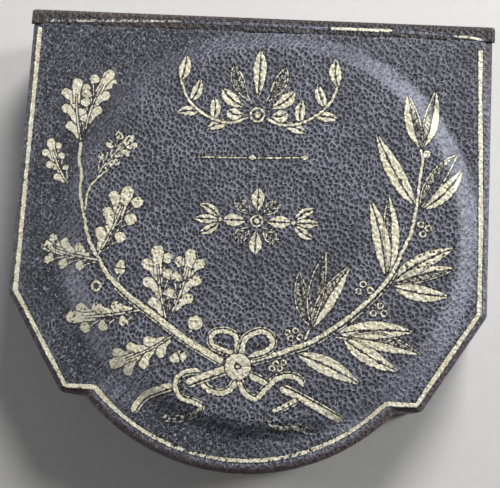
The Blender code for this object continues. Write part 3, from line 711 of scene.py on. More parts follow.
@dataclass(frozen=True)
class GoldTooling(Finish):
    """Gold leaf pressed into the leather, cracked and rubbed along the grain."""

    name: str = "gold_tooling"
    leather: Leather = Leather()
    bright: Colour = (254, 249, 226)
    deep: Colour = (250, 240, 207)
    hollow_shade: Colour = (160, 142, 102)

    def paint(self, graph: Graph) -> None:
        """Lays the gold over the leather.

        Gold lies where the rim attribute, the distance in mm inside a
        tool's edge, is above a ragged zero, and where the grain's noise is
        above the rubbed attribute. The leather shows in the rest, darkened
        just outside the edge.

        Args:
            graph: The material's node tree.
        """
        look = self.leather.look(graph)
        rim = graph.attribute("rim")
        rubbed = graph.attribute("rubbed")
        flat = graph.attribute("unfolded", "Vector")
        ragged = graph.less(graph.noise(3.2, 3.0, flat), 0.5)
        edge = graph.plus(ragged, 0.34, rim)
        edge = graph.plus(graph.less(look.ridges, 0.6), 0.18, edge)
        inside = graph.span(edge, -0.01, 0.06)
        fine = graph.noise(3.6, 3.0, flat)
        patches = graph.between(0.45, graph.noise(1.1, 4.0), fine)
        cover = graph.plus(look.ridges, 0.45, graph.plus(patches, 1.3, -0.28))
        kept = graph.span(graph.less(cover, rubbed), -0.05, 0.10)
        cracks = graph.cells(1.6, graph.moved(graph.mm, 0.8, 0.8), "DISTANCE_TO_EDGE")
        cracks = graph.span(cracks, 0.0, 0.05, 0.25, 1.0)
        gold = graph.times(graph.times(inside, kept), cracks)
        tone = graph.mix(graph.span(graph.noise(0.6, 3.0), 0.35, 0.65), self.bright, self.deep)
        # Painted shade: the gold is darker in the grain's pits.
        tone = graph.mix(graph.span(look.ridges, 0.02, 0.45, 0.5, 0.0), tone, self.hollow_shade)
        beside, under = graph.span(rim, -0.15, -0.03, 1.0, 0.45), graph.span(rim, 0.05, 0.4, 0.0, 0.9)
        shade = graph.math("MAXIMUM", beside, under)
        shade = graph.math("MAXIMUM", shade, graph.span(rubbed, 0.2, 0.55, 0.0, 0.95))
        dark = graph.mix(1.0, look.colour, graph.mix(shade, (0, 0, 0), (255, 255, 255)), "MULTIPLY")
        colour = graph.mix(gold, dark, tone)
        pressed = graph.plus(graph.span(rim, -0.12, 0.04), -0.5, look.height)
        height = graph.between(gold, pressed, graph.times(pressed, 0.55))
        graph.set(Base_Color=colour, Metallic=graph.times(gold, 0.12))
        graph.set(Roughness=graph.between(gold, look.roughness, 0.38), Normal=graph.bump(height, self.leather.depth))


@dataclass(frozen=True)
class Velvet(Finish):
    """Silk velvet with a short nap, paler where it is brushed."""

    name: str = "velvet"
    deep: Colour = (46, 28, 78)
    light: Colour = (98, 70, 138)
    brushed: Colour = (128, 108, 150)
    sheen: Colour = (190, 165, 225)

    def paint(self, graph: Graph) -> None:
        """Lays a mottled pile with brushed strokes and worn places.

        Args:
            graph: The material's node tree.
        """
        pile = graph.noise(7.0, 4.0)
        strokes = graph.noise(0.16, 3.0, graph.moved(graph.mm, 0.1, 6.0))
        tufts = graph.cells(4.2)
        share = graph.plus(graph.span(strokes, 0.38, 0.66), 0.5, graph.times(pile, 0.4))
        colour = graph.mix(share, self.deep, self.light)
        wear = graph.span(graph.attribute("wear"), 0.2, 1.0, 0.0, 0.6)
        colour = graph.mix(wear, colour, self.brushed)
        height = graph.plus(tufts, 0.6, pile)
        graph.set(Base_Color=colour, Roughness=graph.between(pile, 0.78, 0.95), Normal=graph.bump(height, 0.10))
        graph.set(Sheen_Weight=0.8, Sheen_Roughness=0.35, Sheen_Tint=srgb(*self.sheen), Specular_IOR_Level=0.2)


@dataclass(frozen=True)
class Satin(Finish):
    """Cream satin, woven fine, darker and browner in its folds."""

    name: str = "satin"
    bright: Colour = (238, 230, 208)
    aged: Colour = (226, 213, 182)
    spot: Colour = (186, 160, 120)
    fold: Colour = (198, 176, 136)

    def paint(self, graph: Graph) -> None:
        """Weaves a fine warp and weft with slubs, age spots and darker folds.

        Args:
            graph: The material's node tree.
        """
        warp = graph.bands(5.0, axis="X", distortion=0.6)
        weft = graph.bands(3.4, axis="Y", distortion=0.8)
        slubs = graph.noise(1.2, 3.0, graph.stretched((0.12, 1.0, 1.0)))
        age = graph.noise(0.07, 4.0)
        spots = graph.span(graph.noise(0.5, 5.0), 0.66, 0.74)
        colour = graph.mix(graph.span(age, 0.4, 0.66), self.bright, self.aged)
        colour = graph.mix(graph.times(spots, 0.18), colour, self.spot)
        folds = graph.span(graph.attribute("wear"), 0.2, 1.0, 0.0, 0.6)
        colour = graph.mix(folds, colour, self.fold)
        height = graph.plus(warp, 0.4, graph.plus(weft, 0.25, slubs))
        rough = graph.between(slubs, 0.26, 0.42)
        graph.set(Base_Color=colour, Roughness=rough, Normal=graph.bump(height, 0.035, 0.6))
        graph.set(Sheen_Weight=0.25, Sheen_Roughness=0.4, Anisotropic=0.5)


@dataclass(frozen=True)
class RibbedSilk(Finish):
    """Silk ribbon with cross ribs and a woven selvage, laid out on its UV map."""

    name: str = "ribbon_silk"
    tone: Colour = (224, 213, 184)
    soiled: Colour = (196, 178, 142)
    rib: Colour = (238, 230, 206)
    edge: Colour = (190, 168, 120)
    half_width: float = 5.0

    def paint(self, graph: Graph) -> None:
        """Weaves ribs across the ribbon, threads along it and an edge on each side.

        Args:
            graph: The material's node tree.
        """
        place = graph.node("ShaderNodeUVMap", uv_map="ribbon").outputs[0]
        flat = graph.vector("MULTIPLY", place, (1000.0, 1000.0, 0.0))
        ribs = graph.bands(0.9, flat, axis="Y", distortion=0.3)
        threads = graph.bands(3.0, flat, axis="X", distortion=0.5)
        across = graph.node("ShaderNodeSeparateXYZ", {0: flat}).outputs[0]
        inward = graph.less(self.half_width, graph.math("ABSOLUTE", across, 0.0))
        selvage = graph.span(inward, 0.7, 0.9, 1.0, 0.0)
        soil = graph.noise(0.25, 4.0, flat)
        colour = graph.mix(graph.span(soil, 0.4, 0.7), self.tone, self.soiled)
        colour = graph.mix(graph.times(ribs, 0.25), colour, self.rib)
        colour = graph.mix(graph.times(selvage, 0.45), colour, self.edge)
        height = graph.plus(threads, 0.3, graph.between(selvage, ribs, 0.5))
        graph.set(Base_Color=colour, Roughness=graph.between(ribs, 0.55, 0.38), Normal=graph.bump(height, 0.08))
        graph.set(Sheen_Weight=0.3, Sheen_Roughness=0.4)


@dataclass(frozen=True)
class Limewood(Finish):
    """Plain planed limewood with fine long grain and a few darker streaks."""

    name: str = "case_wood"
    pale: Colour = (206, 172, 128)
    dark: Colour = (160, 120, 78)
    pore: Colour = (120, 84, 50)

    def paint(self, graph: Graph) -> None:
        """Draws long grain, broad streaks and fine pores.

        Args:
            graph: The material's node tree.
        """
        along = graph.stretched((0.05, 1.0, 1.0), 3.0)
        grain = graph.noise(1.1, 6.0, along)
        rings = graph.bands(0.10, graph.moved(along, 0.05, 5.0), axis="Y", distortion=2.0)
        pores = graph.span(graph.cells(2.2, graph.stretched((0.10, 1.0, 1.0))), 0.05, 0.25)
        streak = graph.plus(rings, 0.5, graph.times(grain, 0.6))
        colour = graph.mix(graph.span(streak, 0.3, 0.85), self.pale, self.dark)
        colour = graph.mix(graph.times(graph.less(1.0, pores), 0.35), colour, self.pore)
        height = graph.plus(pores, 0.5, grain)
        graph.set(Base_Color=colour, Roughness=graph.between(grain, 0.5, 0.72), Normal=graph.bump(height, 0.05))


@dataclass(frozen=True)
class MarbledPaper(Finish):
    """Marbled paper: drawn-out spots of two inks on a dull violet ground."""

    name: str = "bottom_paper"
    ground: Colour = (74, 66, 84)
    vein: Colour = (34, 32, 46)
    spot: Colour = (134, 92, 78)
    fibre: Colour = (92, 82, 98)
    bare: Colour = (150, 138, 132)

    def paint(self, graph: Graph) -> None:
        """Floats spots and veins on the ground, and rubs them here and there.

        Args:
            graph: The material's node tree.
        """
        place = graph.moved(graph.moved(graph.mm, 0.05, 16.0), 0.2, 4.0)
        shells = graph.cells(0.20, place, "DISTANCE_TO_EDGE")
        veins = graph.span(shells, 0.02, 0.09, 1.0, 0.0)
        spots = graph.span(graph.cells(0.33, place), 0.18, 0.30, 1.0, 0.0)
        fibres = graph.noise(3.0, 5.0)
        rub = graph.span(graph.noise(0.35, 5.0), 0.56, 0.72)
        colour = graph.mix(fibres, self.ground, self.fibre)
        colour = graph.mix(spots, colour, self.spot)
        colour = graph.mix(veins, colour, self.vein)
        colour = graph.mix(graph.times(rub, 0.4), colour, self.bare)
        graph.set(Base_Color=colour, Roughness=graph.between(fibres, 0.55, 0.8), Normal=graph.bump(fibres, 0.03))


@dataclass(frozen=True)
class MoirePaper(Finish):
    """Glazed paper with a watered figure, browned towards the edge."""

    name: str = "rim_paper"
    light: Colour = (214, 200, 172)
    dark: Colour = (178, 158, 124)
    brown: Colour = (146, 118, 84)

    def paint(self, graph: Graph) -> None:
        """Waters fine ribs with a wavy figure, and stains the sheet.

        Args:
            graph: The material's node tree.
        """
        water = graph.moved(graph.mm, 0.09, 9.0)
        figure = graph.bands(0.55, water, axis="Y", distortion=1.5)
        ribs = graph.bands(2.0, axis="Y")
        stain = graph.noise(0.12, 4.0)
        share = graph.plus(figure, 0.6, graph.times(ribs, 0.3))
        colour = graph.mix(share, self.light, self.dark)
        colour = graph.mix(graph.span(stain, 0.5, 0.75, 0.0, 0.6), colour, self.brown)
        graph.set(Base_Color=colour, Roughness=graph.between(figure, 0.38, 0.62), Normal=graph.bump(share, 0.03))


@dataclass(frozen=True)
class Gilt(Finish):
    """Water gilding over a red ground, rubbed through at places."""

    name: str = "collar_gilt"
    gold: Colour = (214, 178, 104)
    next_leaf: Colour = (228, 196, 124)
    ground: Colour = (124, 58, 38)

    def paint(self, graph: Graph) -> None:
        """Lays leaf beside leaf over the ground, which shows where it is worn.

        Args:
            graph: The material's node tree.
        """
        patches = graph.noise(0.5, 6.0, graph.stretched((1.0, 1.0, 0.5)))
        worn = graph.span(patches, 0.58, 0.68)
        leaves = graph.bands(0.055, axis="DIAGONAL", distortion=0.4)
        tone = graph.mix(graph.span(leaves, 0.4, 0.6), self.gold, self.next_leaf)
        colour = graph.mix(graph.times(worn, 0.8), tone, self.ground)
        graph.set(Base_Color=colour, Metallic=graph.plus(worn, -0.8, 0.85))
        graph.set(Roughness=graph.between(worn, 0.28, 0.6), Normal=graph.bump(patches, 0.06))


@dataclass(frozen=True)
class WornMetal(Finish):
    """Rolled metal with fine scratches, dull patches and a darker tarnish."""

    name: str
    bright: Colour
    tarnish: Colour
    roughness: float = 0.3
    dulled: float = 0.5

    def paint(self, graph: Graph) -> None:
        """Scratches the metal, dulls it in patches and specks it with tarnish.

        Args:
            graph: The material's node tree.
        """
        scratches = graph.noise(3.0, 5.0, graph.stretched((0.15, 2.0, 2.0), 12.0))
        patches = graph.noise(0.45, 5.0)
        specks = graph.span(graph.noise(2.6, 4.0), 0.60, 0.70)
        dull = graph.span(patches, 0.42, 0.66, 0.0, self.dulled)
        colour = graph.mix(dull, self.bright, self.tarnish)
        colour = graph.mix(graph.times(specks, 0.5), colour, tuple(part // 2 for part in self.tarnish))
        rough = graph.plus(scratches, 0.25, graph.plus(dull, 0.3, self.roughness - 0.1))
        graph.set(Base_Color=colour, Metallic=1.0, Roughness=rough, Normal=graph.bump(scratches, 0.012))


def all_finishes() -> dict[str, bpy.types.Material]:
    """Makes every finish once.

    Returns:
        The materials by name. A CAD slot has the one of its own name.
    """
    finishes: list[Finish] = [
        Leather(),
        Leather(
            "strip_leather",
            pit=(26, 23, 26),
            ridge=(72, 66, 68),
            painted_glint=(96, 92, 98),
            rubbed=(104, 92, 90),
            brown=(56, 46, 46),
            base_wear=0.08,
        ),
        GoldTooling(),
        Velvet(),
        Satin(),
        RibbedSilk(),
        Limewood(),
        MarbledPaper(),
        MoirePaper(),
        Gilt(),
        WornMetal("brass", bright=(226, 192, 118), tarnish=(146, 112, 60), roughness=0.28, dulled=0.6),
        WornMetal("steel", bright=(196, 196, 200), tarnish=(120, 112, 104), roughness=0.32, dulled=0.4),
    ]
    return {finish.name: finish.material() for finish in finishes}


# ---------------------------------------------------------------- shapes of the case


@dataclass(frozen=True)
class CaseOutline:
    """Plan of the case.

    Its back and sides are straight, and a diagonal and a short step on each
    side lead to a round lobe in front.
    """

    half_width: float = 43.5
    back: float = 42.0
    shoulder_y: float = -12.64
    step_x: float = 32.28
    step_y: float = -30.27
    lobe_y: float = -5.124
    lobe_radius: float = 37.576
    corner: float = 1.8
    least_corner: float = 0.35
    notch: float = 0.7
    arc_steps: int = 8
    lobe_start: float = 0.733
    spacing: float = 0.45

    def diagonal(self) -> Place:
        """Places the right diagonal.

        Returns:
            The two parts of its outward normal, and its distance from the origin.
        """
        along = np.array([self.half_width - self.step_x, self.shoulder_y - self.step_y])
        along /= np.hypot(*along)
        normal = (float(along[1]), float(-along[0]))
        return (*normal, normal[0] * self.half_width + normal[1] * self.shoulder_y)

    def depth(self, x: Array, y: Array) -> Array:
        """Gives how far inside the outline a place is, in mm.

        It is the least of the distances to the back, the side and the
        diagonal, and of the greater of those to the step and the lobe.

        Args:
            x: Places across.
            y: Places towards the back.

        Returns:
            The distance, negative outside.
        """
        nx, ny, distance = self.diagonal()
        side = self.half_width - np.abs(x)
        slant = distance - (nx * np.abs(x) + ny * y)
        lobe = self.lobe_radius - np.hypot(x, y - self.lobe_y)
        return np.minimum(np.minimum(side, slant), np.minimum(self.back - y, np.maximum(y - self.step_y, lobe)))

    def rings(self, inset: Array, step_inset: Array | None = None, lobe_inset: Array | None = None) -> Array:
        """Draws the outline at several insets.

        Every ring has the same number of points, anticlockwise from the
        middle of the back. Corners are rounded by arcs that shrink with
        the inset, and the lobe is one arc.

        Args:
            inset: How far inside the case's outline each ring lies.
            step_inset: The inset at the steps, where it differs.
            lobe_inset: The inset at the lobe, where it differs.

        Returns:
            Points of shape (rings, around, 2).
        """
        step_inset = inset if step_inset is None else step_inset
        lobe_inset = inset if lobe_inset is None else lobe_inset
        nx, ny, distance = self.diagonal()
        half, back = self.half_width - inset, self.back - inset
        shoulder = (distance - inset - nx * half) / ny
        step = self.step_y + step_inset
        step_x = (distance - inset - ny * step) / nx
        radius = self.lobe_radius - lobe_inset
        reach = step - self.lobe_y
        notch_x = np.sqrt(radius**2 - reach**2)
        notch = np.arctan2(reach, notch_x)
        convex = np.maximum(self.corner - inset, self.least_corner)
        concave = self.notch + 0.5 * inset

        def pair(first: Array, second: Array) -> Array:
            """Puts two rows of numbers side by side."""
            return np.stack([first, second], axis=-1)

        down, up, left, right = (0.0, -1.0), (0.0, 1.0), (-1.0, 0.0), (1.0, 0.0)
        slant_down, slant_up = (-ny, -nx), (-ny, nx)
        onto_lobe, off_lobe = pair(-np.sin(notch), -np.cos(notch)), pair(-np.sin(notch), np.cos(notch))
        corners = [
            (pair(-half, back), left, down, convex),
            (pair(-half, shoulder), down, slant_down, convex),
            (pair(-step_x, step), slant_down, right, convex),
            (pair(-notch_x, step), right, onto_lobe, concave),
            (pair(notch_x, step), off_lobe, right, concave),
            (pair(step_x, step), right, slant_up, convex),
            (pair(half, shoulder), slant_up, up, convex),
            (pair(half, back), up, left, convex),
        ]
        arcs = [self.corner_arc(*corner) for corner in corners]
        start = pair(np.zeros_like(back), back)[:, None]
        side = self.back - self.shoulder_y
        slant = math.hypot(self.half_width - self.step_x, self.shoulder_y - self.step_y)
        run = self.step_x - math.sqrt(self.lobe_radius**2 - (self.step_y - self.lobe_y) ** 2)
        lengths = [self.half_width, side, slant, run, 0.0, run, slant, side, self.half_width]
        parts = [start]
        for length, first, last in zip(lengths, [start, *arcs], [*arcs, start]):
            if length > 0.0:
                parts.append(self.straight(first[:, -1], last[:, 0], length))
            else:
                parts.append(self.lobe_arc(first[:, -1], last[:, 0], radius))
            parts.append(last)
        return np.concatenate(parts[:-1], axis=1)

    def corner_arc(self, corner: Array, before: Array | Point, after: Array | Point, radius: Array) -> Array:
        """Rounds one corner of each ring.

        The arc leaves the first line at radius times tan(half the turn)
        from the corner, and meets the second as far behind it.

        Args:
            corner: The sharp corners, shape (rings, 2).
            before: The direction of arrival, or one for each ring.
            after: The direction of departure, likewise.
            radius: The arcs' radii.

        Returns:
            Points of shape (rings, arc_steps, 2).
        """
        before, after = (np.broadcast_to(way, corner.shape) for way in (before, after))
        cross = before[:, 0] * after[:, 1] - before[:, 1] * after[:, 0]
        turn = np.arctan2(cross, (before * after).sum(axis=1))
        inner = np.stack([-before[:, 1], before[:, 0]], axis=1) * np.sign(turn)[:, None]
        back_off = radius * np.tan(np.abs(turn) / 2)
        share = np.linspace(0.0, 1.0, self.arc_steps)[None, :] * np.abs(turn)[:, None]
        along = (np.sin(share) * radius[:, None] - back_off[:, None])[..., None]
        across = ((1.0 - np.cos(share)) * radius[:, None])[..., None]
        return corner[:, None] + before[:, None] * along + inner[:, None] * across

    def straight(self, first: Array, last: Array, length: float) -> Array:
        """Fills the line of about that length between two places, both left out."""
        share = np.linspace(0.0, 1.0, max(int(length / self.spacing), 2) + 1)[1:-1]
        return first[:, None] * (1 - share)[None, :, None] + last[:, None] * share[None, :, None]

    def lobe_arc(self, first: Array, last: Array, radius: Array) -> Array:
        """Fills the lobe's arc between two places, both left out.

        Args:
            first: Where the arc starts in each ring.
            last: Where it ends.
            radius: Its radius in each ring.

        Returns:
            Points of shape (rings, n, 2).
        """
        start = np.arctan2(first[:, 1] - self.lobe_y, first[:, 0])
        end = np.arctan2(last[:, 1] - self.lobe_y, last[:, 0])
        end = np.where(end < start, end + 2 * math.pi, end)
        count = int(self.lobe_radius * (math.pi - 2 * self.lobe_start) / self.spacing)
        share = np.linspace(0.0, 1.0, count + 1)[1:-1]
        angle = start[:, None] * (1 - share) + end[:, None] * share
        return np.stack([radius[:, None] * np.cos(angle), self.lobe_y + radius[:, None] * np.sin(angle)], axis=-1)


@dataclass(frozen=True)
class LidSurface:
    """Height of the lid's outer leather over the plan, with its raised round."""

    outline: CaseOutline = CaseOutline()
    top: float = 19.0
    rise: float = 2.0
    centre: Point = (3.5, 1.0)
    plateau: float = 34.0
    foot: float = 38.0
    slack: float = 2.2
    edge: float = 1.3
    rule_inset: float = 1.55
    lobe_rule_inset: float = 2.4
    short_wave: float = 0.05
    long_wave: float = 0.07
    wrinkle: float = 0.10
    wrinkle_step: float = 1.35
    crease: float = 0.16
    corner_fold: float = 0.035
    groove: float = 0.08
    groove_half: float = 0.6

    def polar(self, x: Array, y: Array) -> tuple[Array, Array]:
        """Gives the distance and the direction of places from the round's middle."""
        dx, dy = x - self.centre[0], y - self.centre[1]
        return np.hypot(dx, dy), np.arctan2(dy, dx)

    def tightness_and_sheen(self, x: Array, y: Array) -> Array:
        """Gives how far the skin is drawn smooth, which also sets where painted sheen lies.

        It is so on the round's slope to the right and at its lower left, at
        the case's edge, and in two patches of painted sheen in front.

        Args:
            x: Places across, in mm.
            y: Places towards the back, in mm.

        Returns:
            A share of 0 to 1.
        """
        radius, _ = self.polar(x, y)
        slope = smooth_step(radius, self.plateau - 0.5, self.plateau + 1.0)
        slope = slope * smooth_step(-radius, -self.foot - 1.2, -self.foot + 0.6)
        rightness = (x - self.centre[0]) / np.maximum(radius, 0.1)
        right = smooth_step(rightness, 0.1, 0.75)
        low_left = smooth_step(-rightness, 0.45, 0.9) * smooth_step(-y, -2.0, 8.0)
        edge = smooth_step(-self.outline.depth(x, y), -3.6, -1.2)
        # Two patches of painted sheen on the front slope.
        shiny = 0.6 * patch(x, y, (-20.0, -29.5), (4.5, 2.6)) + 0.6 * patch(x, y, (19.0, -33.5), (4.5, 2.4))
        return np.clip(slope * (0.25 + 0.75 * right + 0.75 * low_left) + 0.45 * edge + shiny, 0.0, 1.0)

    def looseness_and_shade(self, x: Array, y: Array) -> Array:
        """Gives how far the skin lies slack and creased, and where painted shade lies on it.

        It does on the level outside the round, most on the left; the band in
        front is painted shade.

        Args:
            x: Places across, in mm.
            y: Places towards the back, in mm.

        Returns:
            A share of 0 to 1.2.
        """
        radius, _ = self.polar(x, y)
        beyond = smooth_step(radius, self.plateau - 0.5, self.foot)
        slack = beyond * (0.45 + 0.55 * smooth_step(-x, -5.0, 15.0))
        # The band in front is painted shade, on the slope that faces away from the lamps.
        return np.clip(slack + 0.9 * patch(x, y, (-2.5, -36.4), (11.0, 1.5)), 0.0, 1.2)

    def rule_depth(self, x: Array, y: Array) -> Array:
        """Gives the distance to the middle of the tooled rule, which lies further in at the lobe.

        Args:
            x: Places across, in mm.
            y: Places towards the back, in mm.

        Returns:
            The distance in mm, positive inside the rule.
        """
        depth = self.outline.depth(x, y)
        lobe = smooth_step(-y, 29.0, 32.0) * (np.abs(x) < 28.5)
        return depth - (self.rule_inset + (self.lobe_rule_inset - self.rule_inset) * lobe)

    def height(self, x: Array, y: Array) -> Array:
        """Gives the height of the leather.

        A level top carries a round that rises along a smooth step, wider on
        the left where the leather is slack. Long low waves, rings of
        wrinkles at the front of the round and the groove of the rule are
        added to it.

        Args:
            x: Places across, in mm.
            y: Places towards the back, in mm.

        Returns:
            Heights in mm.
        """
        radius, angle = self.polar(x, y)
        leftness = smooth_step(-np.cos(angle), 0.2, 1.0)
        foot = self.foot + self.slack * leftness
        plateau = self.plateau - 0.8 * self.slack * leftness
        height = self.top + self.rise * smooth_step((foot - radius) / (foot - plateau))
        height += self.short_wave * np.sin(x / 2.9 + 1.3 * np.sin(y / 5.1)) * np.sin(y / 3.7 + 0.8)
        height += self.long_wave * np.sin(x / 6.1 - y / 7.3 + 0.4) * np.sin(y / 8.9 + x / 17.0)
        front = smooth_step(-np.sin(angle), 0.72, 0.97) * smooth_step(radius, 33.2, 34.6)
        front = front * smooth_step(-radius, -39.5, -38.0)
        folds = np.sin(2 * math.pi * (radius + 0.35 * np.sin(angle * 23.0)) / self.wrinkle_step)
        height += self.wrinkle * front * folds
        crease = np.exp(-(((radius - self.foot - 0.5 - 0.3 * np.sin(angle * 9.0)) / 0.45) ** 2))
        height -= self.crease * crease * smooth_step(angle, 0.30, 0.50) * smooth_step(-angle, -1.10, -0.80)
        corner = smooth_step(radius, 39.0, 44.0)
        ripple = np.sin(2 * math.pi * (x * np.sign(-x) + y) / 2.6 + 0.7 * np.sin(x / 1.7))
        height += self.corner_fold * corner * ripple
        groove = np.exp(-((self.rule_depth(x, y) / self.groove_half) ** 2))
        return height - self.groove * groove * (y < 40.0)


@dataclass(frozen=True)
class RearBevel:
    """The slopes at the back of both halves, which meet when the lid stands open."""

    hinge_y: float = 40.0
    hinge_z: float = 9.6
    degrees: float = 60.0
    gap: float = 0.15

    def rise(self, y: Array) -> Array:
        """Gives how far the lid's slope stands above the hinge's axis, or the base's below it."""
        return self.gap + (y - self.hinge_y) * math.tan(math.radians(self.degrees))


@dataclass
class WallSection:
    """Gathers the lines of a leather wall, each at an inset from the outline and at a height."""

    near: Array
    far: Array
    rows: list[Array] = field(default_factory=list)

    def add(self, inset: Array | float, height: Array | float) -> None:
        """Adds a line.

        Args:
            inset: How far it lies inside the outline, which may vary along it.
            height: Its height, which may vary too.
        """
        inset, height = (np.broadcast_to(np.asarray(part, float), len(self.near)) for part in (inset, height))
        place = self.near + (self.far - self.near) * (inset / PROBE)[:, None]
        self.rows.append(np.column_stack([place, height]))

    def rounded(self, radius: float, top: Array, angles: Sequence[float]) -> None:
        """Adds the lines of an outer edge, each at an angle in degrees up its quarter circle."""
        for angle in np.radians(angles):
            self.add(radius * (1 - math.cos(angle)), top - radius * (1 - math.sin(angle)))


def unfold(rings: Array, edge: int, normal: Array) -> Array:
    """Lays a skin out flat, so that its grain runs on over an edge.

    Places above the edge keep their plan. Below it, a place moves out from
    the edge along the outline's normal by the length of skin between them.

    Args:
        rings: The skin's points, shape (rings, around, 3).
        edge: The ring where the walls begin.
        normal: Outward directions in the plan, shape (around, 2).

    Returns:
        The flat places, shape (rings, around, 3).
    """
    flat = rings.copy()
    flat[..., 2] = 0.0
    steps = np.linalg.norm(np.diff(rings[: edge + 1], axis=0), axis=-1)
    length = np.cumsum(steps[::-1], axis=0)[::-1]
    flat[:edge, :, :2] = rings[edge, :, :2] + normal * length[..., None]
    return flat


@dataclass(frozen=True)
class LidLeather:
    """The lid's leather: over the top, round the edge, down the walls and turned in below."""

    surface: LidSurface
    bevel: RearBevel = RearBevel()
    bottom: float = 9.8
    thickness: float = 0.5
    rear_thickness: float = 0.28
    turn_in: float = 2.0
    rear_turn_in: float = 0.3
    back_cover: float = 0.55
    lap_y: float = 38.9
    fold: float = 0.4
    inner_shares: tuple[float, ...] = (0.02, 0.5, 0.74, 0.80, 0.86, 0.92, 0.98)
    top_rings: int = 92
    wall_rings: int = 16

    def sunk(self, y: Array) -> Array:
        """Gives how far the leather lies lower under the back strip."""
        return self.back_cover * smooth_step(y, self.lap_y, self.lap_y + 0.5)

    def build(self) -> bpy.types.Object:
        """Builds the leather as rings.

        They start in the middle of its inner face and run out under the top,
        down inside the walls, round the lower edge, up the outside and over
        to the middle of the top.

        Returns:
            The piece.
        """
        surface, edge, thick = self.surface, self.surface.edge, self.thickness
        outline = CaseOutline(back=surface.outline.back - self.back_cover)
        near, far, inner = outline.rings(np.array([0.0, PROBE, edge]))
        y = near[:, 1]
        away_from_back = smooth_step(outline.back - y, 0.3, 2.2)
        turn = self.rear_turn_in + (self.turn_in - self.rear_turn_in) * away_from_back
        wall = self.rear_thickness + (thick - self.rear_thickness) * away_from_back
        low = np.maximum(self.bottom, self.bevel.hinge_z + self.bevel.rise(y))
        rim_height = surface.height(*inner.T) - self.sunk(y)
        section = WallSection(near, far)

        def cover(share: float, depth: float) -> None:
            """Adds a ring under or over the top.

            Args:
                share: How far out it lies, of the way from the round's middle.
                depth: How far below the outer face.
            """
            place = surface.centre + (inner - surface.centre) * share
            height = surface.height(*place.T) - self.sunk(place[:, 1]) - depth
            section.rows.append(np.column_stack([place, height]))

        for share in self.inner_shares:
            cover(share, thick)
        section.add(wall + 0.15, rim_height - edge)
        section.add(wall, rim_height - edge - 0.6)
        section.add(wall, low + 0.9)
        section.add(np.maximum(wall, turn - 0.2), low + thick)
        section.add(turn, low + thick * 0.5)
        section.add(np.maximum(turn - 0.2, 0.25), low)
        section.add(0.45 * wall, low)
        for angle in np.radians([25.0, 60.0, 90.0]):
            section.add(0.45 * wall * (1 - math.sin(angle)), low + self.fold * (1 - math.cos(angle)))
        for share in np.linspace(0.0, 1.0, self.wall_rings + 1)[1:]:
            section.add(0.0, (low + self.fold) * (1 - share) + (rim_height - edge) * share)
        section.rounded(edge, rim_height, np.linspace(0.0, 90.0, 9)[1:])
        for share in np.linspace(1.0, 0.006, self.top_rings + 1)[1:]:
            cover(share, 0.0)
        rings = np.stack(section.rows)
        x, y = rings[..., 0], rings[..., 1]
        marks = {
            "wear": self.wear(rings),
            "unfolded": unfold(rings, len(rings) - self.top_rings - 1, unit(near - far)),
            "tight": surface.tightness_and_sheen(x, y),
            "loose": surface.looseness_and_shade(x, y),
        }
        return recalculate(rings_object("lid_leather_skin", rings, False, marks))

    def wear(self, rings: Array) -> Array:
        """Works out the rubbing: hard on the outer edge and the corners, none inside the rule.

        Args:
            rings: The leather's points.

        Returns:
            A share for each point.
        """
        x, y, z = rings[..., 0], rings[..., 1], rings[..., 2]
        depth = self.surface.outline.depth(x, y)
        edge = smooth_step(-depth, -2.6, -0.4) * smooth_step(z, 15.5, 17.6)
        front = smooth_step(-y, 2.0, 34.0)
        right = smooth_step(x, 38.0, 43.0) * smooth_step(y, 20.0, 38.0)
        low = smooth_step(-z, -11.5, -9.8) * 0.5
        return np.clip(edge * (0.42 + 0.33 * front + 0.25 * right) + low, 0.0, 1.0)


